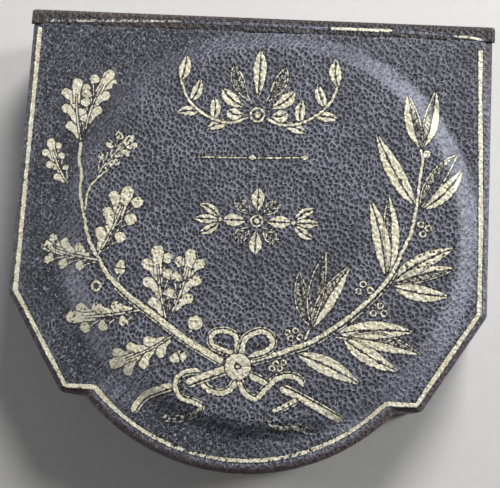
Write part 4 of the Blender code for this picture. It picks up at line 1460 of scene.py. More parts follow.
@dataclass(frozen=True)
class BaseLeather:
    """The base's leather round the front and sides, turned in over the rim."""

    outline: CaseOutline = CaseOutline()
    bevel: RearBevel = RearBevel()
    foot: float = 0.2
    heel: float = 0.2
    rim: float = 9.4
    edge: float = 0.5
    thickness: float = 0.5
    turn_in: float = 2.0
    back_end: float = 41.2
    wall_lines: int = 13
    bush_z: float = 4.7
    bush_hole: float = 3.1
    hole_depth: float = 4.0

    def build(self) -> bpy.types.Object:
        """Carries the wall's section along the outline from one end of the back to the other.

        Returns:
            The piece, with the hole for the button's bush.
        """
        near, far = self.outline.rings(np.array([0.0, PROBE]))
        keep = near[:, 1] < self.back_end
        half = self.outline.half_width
        ends = np.array([[-half, self.back_end], [half, self.back_end]])
        ends_far = ends * (1 - PROBE / half, 1.0)
        near = np.vstack([ends[:1], near[keep], ends[1:]])
        far = np.vstack([ends_far[:1], far[keep], ends_far[1:]])
        high = np.minimum(self.rim, self.bevel.hinge_z - self.bevel.rise(near[:, 1]))
        thick, turn, foot = self.thickness, self.turn_in, self.foot
        section = WallSection(near, far)
        section.add(thick, foot + 0.1)
        section.add(0.35, foot)
        section.add(0.12, foot)
        for share in np.linspace(0.0, 1.0, self.wall_lines + 1):
            section.add(0.0, (foot + self.heel) * (1 - share) + (high - self.edge) * share)
        section.rounded(self.edge, high, [25.0, 50.0, 72.0, 90.0])
        section.add(turn - 0.2, high)
        section.add(turn, high - 0.2)
        section.add(turn - 0.05, high - thick)
        section.add(thick, high - thick)
        rows = np.stack(section.rows)
        points, faces = capped(rows)
        unfolded = unfold(rows, len(rows) - 1, unit(near - far)).reshape(-1, 3)
        unfolded = np.vstack([unfolded, unfolded[:2]])
        z = points[:, 2]
        wear = smooth_step(z, 8.4, 9.3) * 0.5 + smooth_step(-z, -1.6, -0.3) * 0.65
        piece = recalculate(mesh_object("base_leather_skin", points, faces, {"wear": wear, "unfolded": unfolded}))
        shape = bmesh.new()
        front = Matrix.Translation((0.0, self.outline.lobe_y * MM - self.outline.lobe_radius * MM, self.bush_z * MM))
        bmesh.ops.create_cone(
            shape,
            cap_ends=True,
            segments=48,
            radius1=self.bush_hole * MM,
            radius2=self.bush_hole * MM,
            depth=self.hole_depth * MM,
            matrix=front @ Matrix.Rotation(math.pi / 2, 4, "X"),
        )
        cut_away(piece, shape)
        return recalculate(piece)


def lap_waves(x: Array, y: Array) -> Array:
    """Gives the slow waves of the back strip's lap, in mm."""
    return 0.03 * np.sin(x / 2.3) + 0.025 * np.sin(x / 1.1 + y * 2.0)


@dataclass(frozen=True)
class SpineStrip:
    """The leather strip over the back: lapped on the lid, round the edge and down over the hinge gap."""

    surface: LidSurface
    half_length: float = 43.8
    front: float = 38.75
    back: float = 42.0
    thickness: float = 0.45
    over: float = 0.03
    foot: float = 0.25
    corner: float = 1.2
    wall_lines: int = 40
    count: int = 340

    def build(self) -> bpy.types.Object:
        """Carries an L-shaped section across the case, with slow waves in it.

        Returns:
            The piece.
        """
        top, thick = self.surface.top + 0.02, self.thickness
        bend = (self.back - self.corner, top - self.corner + self.over)
        outer = [(self.front, top - 0.16), (self.front + 0.10, top - 0.02)]
        outer += [(y, top + self.over) for y in np.linspace(self.front + 0.4, bend[0], 9)]
        outer += arc_points(bend, self.corner, 82.0, 8.0, 8)
        walls = np.linspace(top - self.corner, self.foot + 0.3, self.wall_lines)
        outer += [(self.back, z) for z in walls]
        outer += [(self.back - 0.12, self.foot)]
        inner = [(self.back - thick + 0.1, self.foot)]
        inner += [(self.back - thick, z) for z in walls[::-1]]
        inner += arc_points(bend, self.corner - thick, 8.0, 82.0, 8)
        inner += [(y, top + self.over - thick) for y in np.linspace(bend[0], self.front + 0.6, 9)]
        section = np.array(outer + inner)
        line = np.linspace(-self.half_length, self.half_length, self.count)
        x, y, z = (part.copy() for part in np.broadcast_arrays(line, section[:, :1], section[:, 1:]))
        lap = smooth_step(z, 17.8, 18.4)
        ragged = 0.05 * np.sin(x / 1.9) + 0.04 * np.sin(x / 0.7 + 1.0)
        y += lap * smooth_step(-y, -39.6, -38.9) * ragged
        z += lap * smooth_step(-y, -41.0, -39.6) * lap_waves(x, y)
        z -= lap * smooth_step(np.abs(x), 43.2, 43.8) * 0.35
        y -= 0.04 * (1 - lap) * (1 + np.sin(x / 5.0 + z / 3.0))
        points, faces = capped(np.stack([x, y, z], axis=-1))
        run = np.broadcast_to(self.front + running_length(section)[:, None], x.shape)
        unfolded = np.stack([x, run, np.zeros_like(x)], axis=-1)
        unfolded = np.vstack([unfolded.reshape(-1, 3), unfolded[0, [0, -1]]])
        marks = {"wear": self.wear(points), "unfolded": unfolded}
        return recalculate(mesh_object("spine_strip_leather", points, faces, marks))

    def wear(self, points: Array) -> Array:
        """Works out the rubbing: brown on the left of the lap and along the fold, less on the right.

        Args:
            points: The strip's points, shape (n, 3).

        Returns:
            A share for each point.
        """
        x, y, z = points.T
        leftness = smooth_step(-x, -12.0, 22.0)
        fold = smooth_step(y, 40.6, 41.6) * smooth_step(z, 16.0, 18.2)
        joint = np.exp(-(((z - 9.6) / 1.6) ** 2)) * (y > 41.0)
        ends = smooth_step(np.abs(x), 41.0, 43.5) * 0.3
        return np.clip(0.15 + 0.45 * leftness + 0.35 * fold + 0.55 * joint + ends, 0.0, 1.0)


# ---------------------------------------------------------------- gold tooling


class Fill(Enum):
    """How half a leaf is engraved on its tool."""

    SOLID = "solid"
    HATCHED = "hatched"
    OUTLINE = "outline"


@dataclass
class Foil:
    """Gathers the strips of one piece of tooling, then lays them on the lid."""

    name: str
    surface: LidSurface
    margin: float = 0.15
    least: float = 0.04
    nudge: float = 0.12
    lift: float = 0.055
    leaf: float = 0.02
    rows: list[Array] = field(default_factory=list)
    faces: list[Array] = field(default_factory=list)
    rims: list[Array] = field(default_factory=list)
    rubs: list[Array] = field(default_factory=list)
    layers: list[Array] = field(default_factory=list)
    count: int = 0

    def strip(
        self,
        path: Array,
        right: Array | float,
        left: Array | float,
        rubbed: Array | float = 0.1,
        layer: float = 0.0,
    ) -> None:
        """Adds a strip along a path.

        Seven lines run beside the path: two just outside the tool's edges,
        the edges themselves, and three between. The rim attribute is each
        line's distance inside the nearest edge, and falls off over both
        ends as well.

        Args:
            path: The path in mm, shape (n, 2).
            right: Offset of the right edge, to the left of the path if positive.
            left: Offset of the left edge.
            rubbed: How much gold has gone, from 0 to 1.
            layer: A small extra height, so that crossing strips keep apart.
        """
        count, margin = len(path), self.margin
        right, left, rubbed = (np.broadcast_to(np.asarray(part, float), count) for part in (right, left, rubbed))
        low = np.minimum(right, left)
        high = np.maximum(np.maximum(right, left), low + self.least)
        shares = np.linspace(0.0, 1.0, 5)
        width = (high - low)[:, None]
        outside = np.full(count, -margin)
        across = np.column_stack([low - margin, low[:, None] + width * shares, high + margin])
        rim = np.column_stack([outside, width / 2 * (1 - np.abs(2 * shares - 1)), outside])
        tangent, normal = directions(path)
        start = [path[0] + tangent[0] * step for step in (-margin, 0.0, self.nudge)]
        end = [path[-1] + tangent[-1] * step for step in (-self.nudge, 0.0, margin)]
        middle = np.vstack([start, path[1:-1], end])
        order = [0, 0, *range(count), count - 1, count - 1]
        rim = rim[order]
        rim[[0, -1]] = -margin
        rim[[1, -2]] = np.minimum(rim[[1, -2]], 0.0)
        plan = middle[:, None] + normal[order][:, None] * across[order][..., None]
        self.add(plan, rim, np.broadcast_to(rubbed[order][:, None], rim.shape), layer)

    def add(self, plan: Array, rim: Array, rubbed: Array, layer: float) -> None:
        """Keeps one grid of the tooling.

        Args:
            plan: Its places, shape (rows, columns, 2).
            rim: The distance of each inside the tool's edge.
            rubbed: How much gold has gone there.
            layer: The grid's extra height.
        """
        rows, columns = plan.shape[:2]
        self.faces.append(grid_faces(rows, columns, start=self.count))
        self.rows.append(plan.reshape(-1, 2))
        self.rims.append(rim.ravel())
        self.rubs.append(rubbed.ravel())
        self.layers.append(np.full(rows * columns, layer))
        self.count += rows * columns

    def stroke(self, points: Sequence[Point], width: float, rubbed: float = 0.1, taper: float = 1.0) -> None:
        """Adds a line of even width.

        Args:
            points: The points it passes.
            width: Its width, in mm.
            rubbed: How much gold has gone.
            taper: The length over which its ends narrow.
        """
        path = spline(points)
        along = np.linspace(0.0, 1.0, len(path)) * running_length(path)[-1]
        half = width / 2 * np.clip(np.minimum(along, along[-1] - along) / taper + 0.25, 0.0, 1.0)
        self.strip(path, -half, half, rubbed)

    def ring(self, centre: Point, radius: float, width: float, rubbed: float = 0.1, layer: float = 0.0) -> None:
        """Adds a ring.

        Args:
            centre: Its middle.
            radius: Its outer radius.
            width: The gold's width, or twice the radius for a disc.
            rubbed: How much gold has gone.
            layer: Its extra height.
        """
        angle = np.linspace(0.0, 2 * math.pi, 25)[::-1]
        inner, margin = max(radius - width, 0.0), self.margin
        half = (radius - inner) / 2
        radii, rims = [inner - margin, inner, inner + half, radius, radius + margin], [-margin, 0.0, half, 0.0, -margin]
        if inner <= margin:
            radii, rims = [0.02, radius * 0.5, radius, radius + margin], [radius, radius * 0.5, 0.0, -margin]
        away = np.column_stack([np.cos(angle), np.sin(angle)])
        plan = centre + away[:, None] * np.array(radii)[:, None]
        rim = np.broadcast_to(rims, plan.shape[:2])
        self.add(plan, rim, np.full(rim.shape, rubbed), layer)

    def build(self) -> bpy.types.Object:
        """Lays the tooling on the leather and gives it the thickness of the leaf.

        Returns:
            The piece.
        """
        x, y = np.vstack(self.rows).T
        points = np.column_stack([x, y, self.surface.height(x, y) + self.lift + np.concatenate(self.layers)])
        attributes = {
            "rim": np.concatenate(self.rims),
            "rubbed": np.concatenate(self.rubs),
            "wear": np.zeros(len(points)),
            "unfolded": points * (1.0, 1.0, 0.0),
            "tight": self.surface.tightness_and_sheen(x, y),
            "loose": self.surface.looseness_and_shade(x, y),
        }
        faces = np.vstack(self.faces)
        corner = points[faces]
        first, second = corner[:, 2] - corner[:, 0], corner[:, 3] - corner[:, 1]
        down = first[:, 0] * second[:, 1] - first[:, 1] * second[:, 0] < 0
        faces[down] = faces[down][:, ::-1]
        return thickened(mesh_object(self.name, points, [faces], attributes), self.leaf, -1.0)


def bent_line(base: Point, tip: Point, bend: float, count: int) -> Array:
    """Draws a line that bends sideways as a parabola.

    Args:
        base: Where it starts.
        tip: Where it ends.
        bend: How far its middle lies to the left, in mm.
        count: How many points it has.

    Returns:
        The points, shape (count, 2).
    """
    along = np.subtract(tip, base)
    share = np.linspace(0.0, 1.0, count)[:, None]
    normal = np.array([-along[1], along[0]]) / np.hypot(*along)
    return base + along * share + normal * bend * 4 * share * (1 - share)


@dataclass(frozen=True)
class Blade:
    """A long pointed leaf from its base to its tip, in two halves beside a dark midrib."""

    base: Point
    tip: Point
    width: float = 3.0
    left: Fill = Fill.SOLID
    right: Fill = Fill.SOLID
    rubbed: float = 0.1
    bend: float = 0.4
    full: float = 0.45
    line: float = 0.26
    hatch_step: float = 0.58
    hatch_half: float = 0.14
    hatch_shares: Point = (0.10, 0.86)
    least_reach: float = 0.45
    layer: float = -0.012
    hatch_layer: float = -0.016
    rib_half: float = 0.09
    notches: Point = (0.34, 0.66)
    notch_half: float = 0.035
    notch_depth: float = 0.16

    def half_width(self, share: Array) -> Array:
        """Gives half the width: a sine arch whose crown stands at the share full."""
        warped = share ** (math.log(0.5) / math.log(self.full))
        return self.width / 2 * np.sin(math.pi * warped) ** 0.85

    def gap(self, share: Array) -> Array:
        """Gives half the midrib's width, with two small notches."""
        notches = sum(np.exp(-(((share - place) / self.notch_half) ** 2)) for place in self.notches)
        return self.rib_half + self.notch_depth * notches

    def draw(self, foil: Foil) -> None:
        """Adds both halves to a piece of tooling.

        Args:
            foil: The tooling that the leaf goes into.
        """
        length = np.hypot(*np.subtract(self.tip, self.base))
        spine = bent_line(self.base, self.tip, self.bend, max(int(length / 0.3), 12))
        share = np.linspace(0.0, 1.0, len(spine))
        gap = self.gap(share)
        outer = np.maximum(self.half_width(share), gap + 0.02)
        for side, fill in ((1.0, self.left), (-1.0, self.right)):
            inner = gap if fill is Fill.SOLID else np.maximum(outer - self.line, gap)
            foil.strip(spine, side * inner, side * outer, self.rubbed, self.layer)
            if fill is Fill.HATCHED:
                self.hatch(foil, spine, side, gap, outer)

    def hatch(self, foil: Foil, spine: Array, side: float, gap: Array, outer: Array) -> None:
        """Adds the slanting lines of a hatched half.

        Args:
            foil: The tooling that they go into.
            spine: The midrib.
            side: 1 for the left half, -1 for the right.
            gap: Distance from the midrib to the gold.
            outer: Distance from the midrib to the leaf's edge.
        """
        tangent, normal = directions(spine)
        count = max(int(running_length(spine)[-1] / self.hatch_step), 4)
        for share in np.linspace(*self.hatch_shares, count):
            index = int(share * (len(spine) - 1))
            reach = outer[index]
            if reach >= self.least_reach:
                away = side * normal[index]
                start = spine[index] + away * gap[index]
                end = spine[index] + away * reach * 0.9 + tangent[index] * reach * 0.75
                foil.strip(np.linspace(start, end, 5), -self.hatch_half, self.hatch_half, self.rubbed, self.hatch_layer)


@dataclass(frozen=True)
class OakLeaf:
    """A deeply lobed leaf from its base to its tip, each lobe a finger off the midrib."""

    base: Point
    tip: Point
    width: float = 5.0
    left: Fill = Fill.SOLID
    right: Fill = Fill.HATCHED
    rubbed: float = 0.12
    lobes: int = 3
    bend: float = 0.5
    points: int = 60
    lobed: float = 0.70
    neck_line: float = 0.12
    first_lobe: float = 0.06
    delay: float = 0.22
    root: float = 0.14
    side_lobe: float = 0.31
    top_lobe: float = 0.36

    def draw(self, foil: Foil) -> None:
        """Adds the fingers of both halves from the base up, then the one at the tip.

        A finger leaves the midrib, leans towards the tip and ends in a
        round lobe. Each lies a little over the one before, whose gold its
        dark margin cuts off.

        Args:
            foil: The tooling that it goes into.
        """
        spine = bent_line(self.base, self.tip, self.bend, self.points)
        tangent, normal = directions(spine)
        last = self.points - 1
        spacing = self.lobed * np.hypot(*np.subtract(self.tip, self.base)) / self.lobes
        for number in range(self.lobes):
            for side, fill, delay in ((1.0, self.left, 0.0), (-1.0, self.right, self.delay)):
                at = self.first_lobe + (number + delay) * self.lobed / self.lobes
                index = int(at * last)
                ahead, away = tangent[index], side * normal[index]
                reach = self.width / 2 * math.sin(math.pi * (0.24 + 0.62 * at)) ** 0.8
                start = spine[index] + away * self.root
                end = start + away * reach * 0.92 + ahead * (reach * 1.05 + 0.30 * spacing)
                middle = start * 0.55 + end * 0.45 + ahead * 0.30 * reach
                self.finger(foil, [start, middle, end], self.side_lobe * spacing, fill, -0.002 * number)
        top = spine[[int(0.60 * last), int(0.8 * last), last]]
        self.finger(foil, top, self.top_lobe * spacing, Fill.SOLID, 0.003)
        foil.strip(spine[: int(0.75 * last)], -0.16, 0.16, self.rubbed, 0.005)

    def finger(self, foil: Foil, points: Sequence[Array], lobe: float, fill: Fill, layer: float) -> None:
        """Adds one finger: a neck that widens into a round end.

        Args:
            foil: The tooling that it goes into.
            points: Its middle line, from the midrib out.
            lobe: The round end's radius.
            fill: SOLID, or HATCHED for a neck of thin lines.
            layer: Its extra height.
        """
        path = spline(points, 0.16)
        steps = running_length(path)
        left_over = steps[-1] - steps
        cap = np.sqrt(np.clip(1 - (1 - left_over / lobe) ** 2, 0.02, 1.0))
        neck = 0.66 + 0.34 * smooth_step(steps / steps[-1], 0.35, 0.75)
        half = lobe * neck * np.where(left_over < lobe, cap, 1.0)
        if fill is Fill.SOLID:
            foil.strip(path, -half, half, self.rubbed, layer)
            return
        end = steps > 0.58 * steps[-1]
        foil.strip(path[end], -half[end], half[end], self.rubbed, layer + 0.001)
        for share in (-0.7, 0.7):
            offset = share * half[~end]
            foil.strip(path[~end], offset - self.neck_line, offset + self.neck_line, self.rubbed, layer)


@dataclass(frozen=True)
class Acorn:
    """A nut over its cup, with a dark slit between."""

    centre: Point
    turn: float
    size: float = 1.0
    nut_start: float = 0.15
    nut_length: float = 1.75
    cup_start: float = 0.12
    cup_length: float = 1.35
    cup_half: float = 1.2
    layer: float = -0.01

    def draw(self, foil: Foil) -> None:
        """Adds the nut and the cup, each an arch across the acorn's axis.

        Args:
            foil: The tooling that it goes into.
        """
        axis = self.size * heading(math.radians(self.turn))
        share = np.linspace(0.0, 1.0, 14)
        nut = self.centre + axis * (self.nut_start + self.nut_length * share[:, None])
        half = self.size * (1 - share**2.2) ** 0.6
        foil.strip(nut, -half, half, 0.1, self.layer)
        cup = self.centre - axis * (self.cup_length * share[:, None] + self.cup_start)
        half = self.cup_half * self.size * (1 - share**2) ** 0.55
        foil.strip(cup, -half, half, 0.12, self.layer)


@dataclass(frozen=True)
class Wreath:
    """The oak branch, the laurel branch and the bow that ties them."""

    surface: LidSurface
    knot: Point = (-0.5, -24.0)
    broad: float = 0.36
    parting: float = 0.2

    def oak(self) -> bpy.types.Object:
        """Tools the oak branch: stem, twig, lobed leaves, acorns and galls.

        Returns:
            The piece.
        """
        foil = Foil("gold_oak_branch", self.surface)
        stem = [
            (-3.3, -23.3), (-6.5, -21.6), (-9.6, -20.0), (-13.3, -17.5), (-17.3, -14.8), (-20.5, -12.7),
            (-23.1, -10.5), (-25.1, -8.6), (-26.6, -6.2), (-28.1, -4.0), (-29.3, -1.4), (-30.0, 1.2),
            (-30.7, 3.8), (-31.4, 6.5), (-31.4, 9.7), (-32.2, 12.4), (-32.2, 16.0),
        ]
        path = spline(stem)
        half = 0.62 - 0.30 * smooth_step(np.linspace(0.0, 1.0, len(path)), 0.1, 0.75)
        foil.strip(path, -half, half)
        foil.strip(spline(np.subtract(stem[:7], (0.35, 0.75))), -0.12, 0.12, 0.2)
        foil.stroke([(-30.1, 2.4), (-30.0, 4.8), (-29.5, 7.1), (-28.3, 8.8), (-26.2, 10.7)], 0.45, 0.2)
        solid, hatched = Fill.SOLID, Fill.HATCHED
        for leaf in (
            OakLeaf((-32.3, 16.4), (-33.9, 28.4), 5.4, solid, hatched, 0.2),
            OakLeaf((-31.6, 18.5), (-27.4, 30.2), 5.2, hatched, solid, 0.34, 3, 0.8),
            OakLeaf((-34.0, 7.9), (-38.1, 16.5), 3.8, solid, hatched, 0.38, 3),
            OakLeaf((-28.0, 9.8), (-22.0, 17.1), 5.0, hatched, solid, 0.5),
            OakLeaf((-26.9, -5.3), (-22.1, 7.6), 6.6, solid, hatched, 0.30, 3, -0.4),
            OakLeaf((-26.9, -6.2), (-38.0, -3.4), 5.6, hatched, solid, 0.46),
            OakLeaf((-18.6, -14.9), (-32.2, -16.7), 5.2, hatched, solid, 0.42, 3, 0.5),
            OakLeaf((-13.8, -16.1), (-16.2, -3.0), 5.6, solid, hatched, 0.30, 3),
            OakLeaf((-13.0, -15.6), (-10.0, -3.4), 5.6, hatched, solid, 0.36, 3, -0.5),
            OakLeaf((-12.6, -19.3), (-23.6, -24.9), 5.4, solid, solid, 0.1, 3, 0.6),
        ):
            leaf.draw(foil)
        for stalk in (
            ((-22.9, -9.9), (-22.8, -8.6)),
            ((-25.1, -10.4), (-26.0, -10.7)),
            ((-9.5, -18.9), (-8.8, -17.4)),
            ((-10.2, -21.6), (-10.8, -22.2)),
        ):
            foil.stroke(stalk, 0.4)
        Acorn((-22.7, -7.6), 85.0, 0.85).draw(foil)
        Acorn((-11.0, -22.8), 205.0, 0.95).draw(foil)
        foil.ring((-26.8, -11.0), 1.05, 0.5, 0.12)
        foil.ring((-8.5, -16.7), 1.35, 2.7, 0.12)
        return foil.build()

    def laurel(self) -> bpy.types.Object:
        """Tools the laurel branch: double stem, pointed leaves and berries.

        Returns:
            The piece.
        """
        foil = Foil("gold_laurel_branch", self.surface)
        stem = [
            (1.7, -22.9), (6.1, -21.5), (9.0, -20.3), (12.1, -19.0), (16.0, -16.4), (19.1, -13.9), (21.9, -11.2),
            (25.0, -7.6), (26.5, -5.1), (27.7, -2.1), (29.2, 1.5), (29.7, 4.5), (30.0, 6.2), (30.3, 9.2),
            (30.6, 12.5), (30.9, 15.0), (30.5, 17.1),
        ]
        path = spline(stem)
        half = 0.46 - 0.20 * np.linspace(0.0, 1.0, len(path))
        foil.strip(path, -half, half)
        foil.strip(spline(np.add(stem[:9], (0.45, -0.72))), -0.10, 0.10, 0.22)
        solid, hatched, outline = Fill.SOLID, Fill.HATCHED, Fill.OUTLINE
        for leaf in (
            Blade((30.5, 17.1), (27.9, 27.8), 2.9, solid, hatched, 0.1),
            Blade((30.9, 17.4), (33.1, 29.0), 2.9, hatched, solid, 0.1, -0.4),
            Blade((29.8, 6.5), (22.4, 19.6), 3.1, solid, solid, 0.1),
            Blade((30.7, 6.2), (37.5, 17.0), 3.0, hatched, outline, 0.22, 0.6),
            Blade((31.2, 6.0), (38.3, 14.1), 2.6, solid, solid, 0.16, -0.8),
            Blade((25.0, -6.5), (21.6, 7.5), 3.0, solid, solid, 0.18, -0.5),
            Blade((25.5, -5.8), (24.8, 8.5), 3.0, hatched, solid, 0.12, -0.5),
            Blade((26.1, -7.5), (37.2, -0.8), 3.0, solid, solid, 0.42, 0.6),
            Blade((26.6, -7.7), (37.5, -4.6), 2.7, solid, hatched, 0.3),
            Blade((26.3, -8.3), (36.5, -9.6), 2.9, solid, solid, 0.12, -0.4),
            Blade((12.0, -16.2), (9.5, -6.4), 2.9, hatched, hatched, 0.35),
            Blade((12.2, -16.0), (14.2, -2.6), 3.0, outline, hatched, 0.3),
            Blade((12.4, -16.3), (18.6, -5.0), 3.2, hatched, solid, 0.12),
            Blade((16.9, -17.2), (30.4, -16.3), 3.2, solid, solid, 0.1, 0.5),
            Blade((19.0, -17.6), (31.6, -20.1), 3.1, hatched, solid, 0.12, 0.4),
            Blade((17.9, -18.0), (27.8, -23.3), 3.0, solid, solid, 0.1, -0.4),
            Blade((9.8, -21.2), (21.3, -26.0), 3.2, solid, solid, 0.1, 0.4),
        ):
            leaf.draw(foil)
        for stalk, width in (
            (((11.1, -18.9), (12.0, -16.3)), 0.45),
            (((16.4, -17.9), (19.0, -18.1)), 0.4),
            (((29.6, 1.5), (30.2, 2.0)), 0.3),
            (((21.8, -10.9), (21.4, -9.6)), 0.3),
            (((22.9, -11.0), (23.6, -12.4)), 0.3),
            (((9.2, -20.0), (8.9, -18.6)), 0.35),
        ):
            foil.stroke(stalk, width)
        foil.ring((31.6, 16.2), 0.72, 1.5, 0.08)
        bright = (
            (30.9, 3.2), (32.3, 2.5), (31.3, 1.4), (20.2, -9.5), (21.0, -8.2), (22.3, -9.2), (23.0, -13.3),
            (24.2, -11.9), (24.9, -13.2),
        )
        dim = (
            (8.0, -17.5), (9.4, -17.1), (10.2, -18.2), (8.6, -18.5), (6.2, -23.1), (7.0, -23.9), (7.6, -22.9),
            (5.6, -24.0),
        )
        for berries, radius, width, rubbed in ((bright, 0.66, 0.34, 0.1), (dim, 0.6, 0.32, 0.16)):
            for berry in berries:
                foil.ring(berry, radius, width, rubbed)
        return foil.build()

    def bow(self) -> bpy.types.Object:
        """Tools the ribbon: a knot, four loops, two folded tails and their worn ends.

        Each length of ribbon is a broad line beside a thin one, and narrows
        towards its end.

        Returns:
            The piece.
        """
        foil = Foil("gold_bow", self.surface)
        foil.ring(self.knot, 2.35, 1.75, 0.22, 0.03)
        foil.ring(self.knot, 0.35, 0.7, 0.2, 0.03)
        ribbons: list[tuple[float, float, list[Point]]] = [
            (1.35, 0.2, [(-6.5, -27.1), (-5.5, -28.1), (-3.5, -28.7), (-1.6, -27.9), (-0.5, -26.0)]),
            (1.35, 0.26, [
                (-0.2, -26.0), (1.1, -28.4), (2.9, -29.3), (4.4, -27.7), (6.5, -25.6), (8.8, -25.0), (10.6, -25.6),
                (11.4, -26.9),
            ]),
            (1.7, 0.1, [(-2.4, -24.7), (-6.2, -26.2), (-9.4, -27.6)]),
            (1.2, 0.26, [
                (-7.1, -25.2), (-9.4, -25.5), (-10.9, -26.6), (-11.0, -28.4), (-10.0, -29.9), (-8.0, -30.5),
                (-6.4, -31.3), (-7.2, -32.5),
            ]),
            (1.6, 0.12, [(-11.9, -28.1), (-14.2, -28.9), (-16.4, -29.9), (-17.7, -31.1), (-18.8, -33.0)]),
            (1.3, 0.62, [(-7.2, -32.5), (-10.3, -33.6), (-13.3, -33.6)]),
            (1.5, 0.14, [(1.6, -25.2), (3.6, -26.0), (5.0, -26.6)]),
            (1.6, 0.12, [(7.2, -27.2), (9.1, -27.9), (11.3, -28.9), (13.6, -30.0), (16.0, -31.2), (18.4, -32.3)]),
            (1.2, 0.42, [(10.4, -29.3), (8.2, -30.6), (6.0, -31.8)]),
            (1.3, 0.62, [(5.4, -33.0), (7.5, -34.1), (10.5, -33.9), (13.4, -34.8)]),
            (1.25, 0.16, [
                (-1.3, -21.9), (-3.4, -21.4), (-5.3, -20.5), (-5.7, -19.1), (-4.9, -18.0), (-3.0, -17.7),
                (-1.1, -18.5), (-0.6, -20.0), (-0.8, -21.9),
            ]),
            (1.35, 0.14, [
                (-0.2, -21.9), (0.3, -19.3), (1.6, -18.0), (3.6, -17.4), (5.2, -18.3), (5.6, -19.9), (4.3, -21.2),
                (1.4, -22.3),
            ]),
        ]
        for number, (width, rubbed, points) in enumerate(ribbons):
            path = spline(points)
            start, end = np.linspace(0.04, 4.0, len(path)), np.linspace(1.0, 0.03, len(path))
            half = width / 2 * np.clip(12.0 * np.minimum(1.0, start) * end, 0.3, 1.0)
            foil.strip(path, -half, self.broad * half, rubbed, 0.002 * number)
            foil.strip(path, self.broad * half + self.parting * width / 1.4, half, rubbed, 0.002 * number)
        for left in (-4.8, 2.1):
            for step in range(4):
                x = left + 0.5 * step
                foil.stroke([(x, -20.4), (x + 0.5, -19.5)], 0.2, 0.25)
        return foil.build()


@dataclass(frozen=True)
class Border:
    """The rules that follow the case's outline, and what is left of the one at the back."""

    surface: LidSurface
    width: float = 0.85
    step_inset: float = 1.35
    start_y: float = 38.3
    end_y: float = 37.4

    def side_rules(self) -> bpy.types.Object:
        """Tools one rule from the rear left, round the front, to the rear right.

        Returns:
            The piece.
        """
        foil = Foil("gold_border", self.surface)
        surface = self.surface
        insets = (np.array([inset]) for inset in (surface.rule_inset, self.step_inset, surface.lobe_rule_inset))
        path = CaseOutline(spacing=0.35).rings(*insets)[0]
        path = path[path[:, 1] < self.start_y]
        path = path[: np.argmax((path[:, 0] > 40.0) & (path[:, 1] > self.end_y)) or None]
        path[:, 0] -= 0.75 * smooth_step(path[:, 1], 0.0, 36.0) * (path[:, 0] > 30.0)
        x, y = path.T
        front = smooth_step(-y, 29.0, 35.0)
        share = np.linspace(0.0, 1.0, len(path))
        half = self.width / 2 * (1 + 0.08 * np.sin(share * 90.0) + 0.06 * np.sin(share * 37.0))
        half *= 1 - 0.16 * front
        rubbed = 0.12 + 0.16 * (np.sin(x / 3.1 + y / 4.7) > 0.55) + 0.25 * patch(x, y, (-39.0, -22.0), (5.0, 6.0))
        rubbed += 0.12 * smooth_step(x, 30.0, 40.0) * smooth_step(-y, 8.0, 20.0) + 0.26 * front
        foil.strip(path, -half, half, rubbed)
        return foil.build()

    def back_rule(self) -> bpy.types.Object:
        """Tools the broken rule on the lap of the back strip.

        Returns:
            The piece.
        """
        foil = Foil("gold_back_rule", LapSurface(), lift=0.03)
        for points, width, rubbed in (
            ([(-41.0, 39.5), (-30.0, 39.9), (-15.0, 40.4)], 0.5, 0.62),
            ([(-15.0, 40.4), (0.0, 40.4), (13.0, 40.2)], 0.5, 0.85),
            ([(13.0, 40.2), (19.0, 40.2), (24.8, 40.25)], 0.6, 0.25),
            ([(24.8, 40.25), (31.0, 40.0), (36.5, 39.7)], 0.5, 0.8),
            ([(36.0, 39.7), (39.0, 39.5), (41.6, 39.1)], 0.5, 0.45),
        ):
            foil.stroke(points, width, rubbed, 0.4)
        return foil.build()


@dataclass(frozen=True)
class LapSurface(LidSurface):
    """Height of the back strip where it laps on the lid."""

    strip_top: float = 19.05

    def height(self, x: Array, y: Array) -> Array:
        """Gives the strip's level top, over its slow waves."""
        return self.strip_top + lap_waves(x, y)


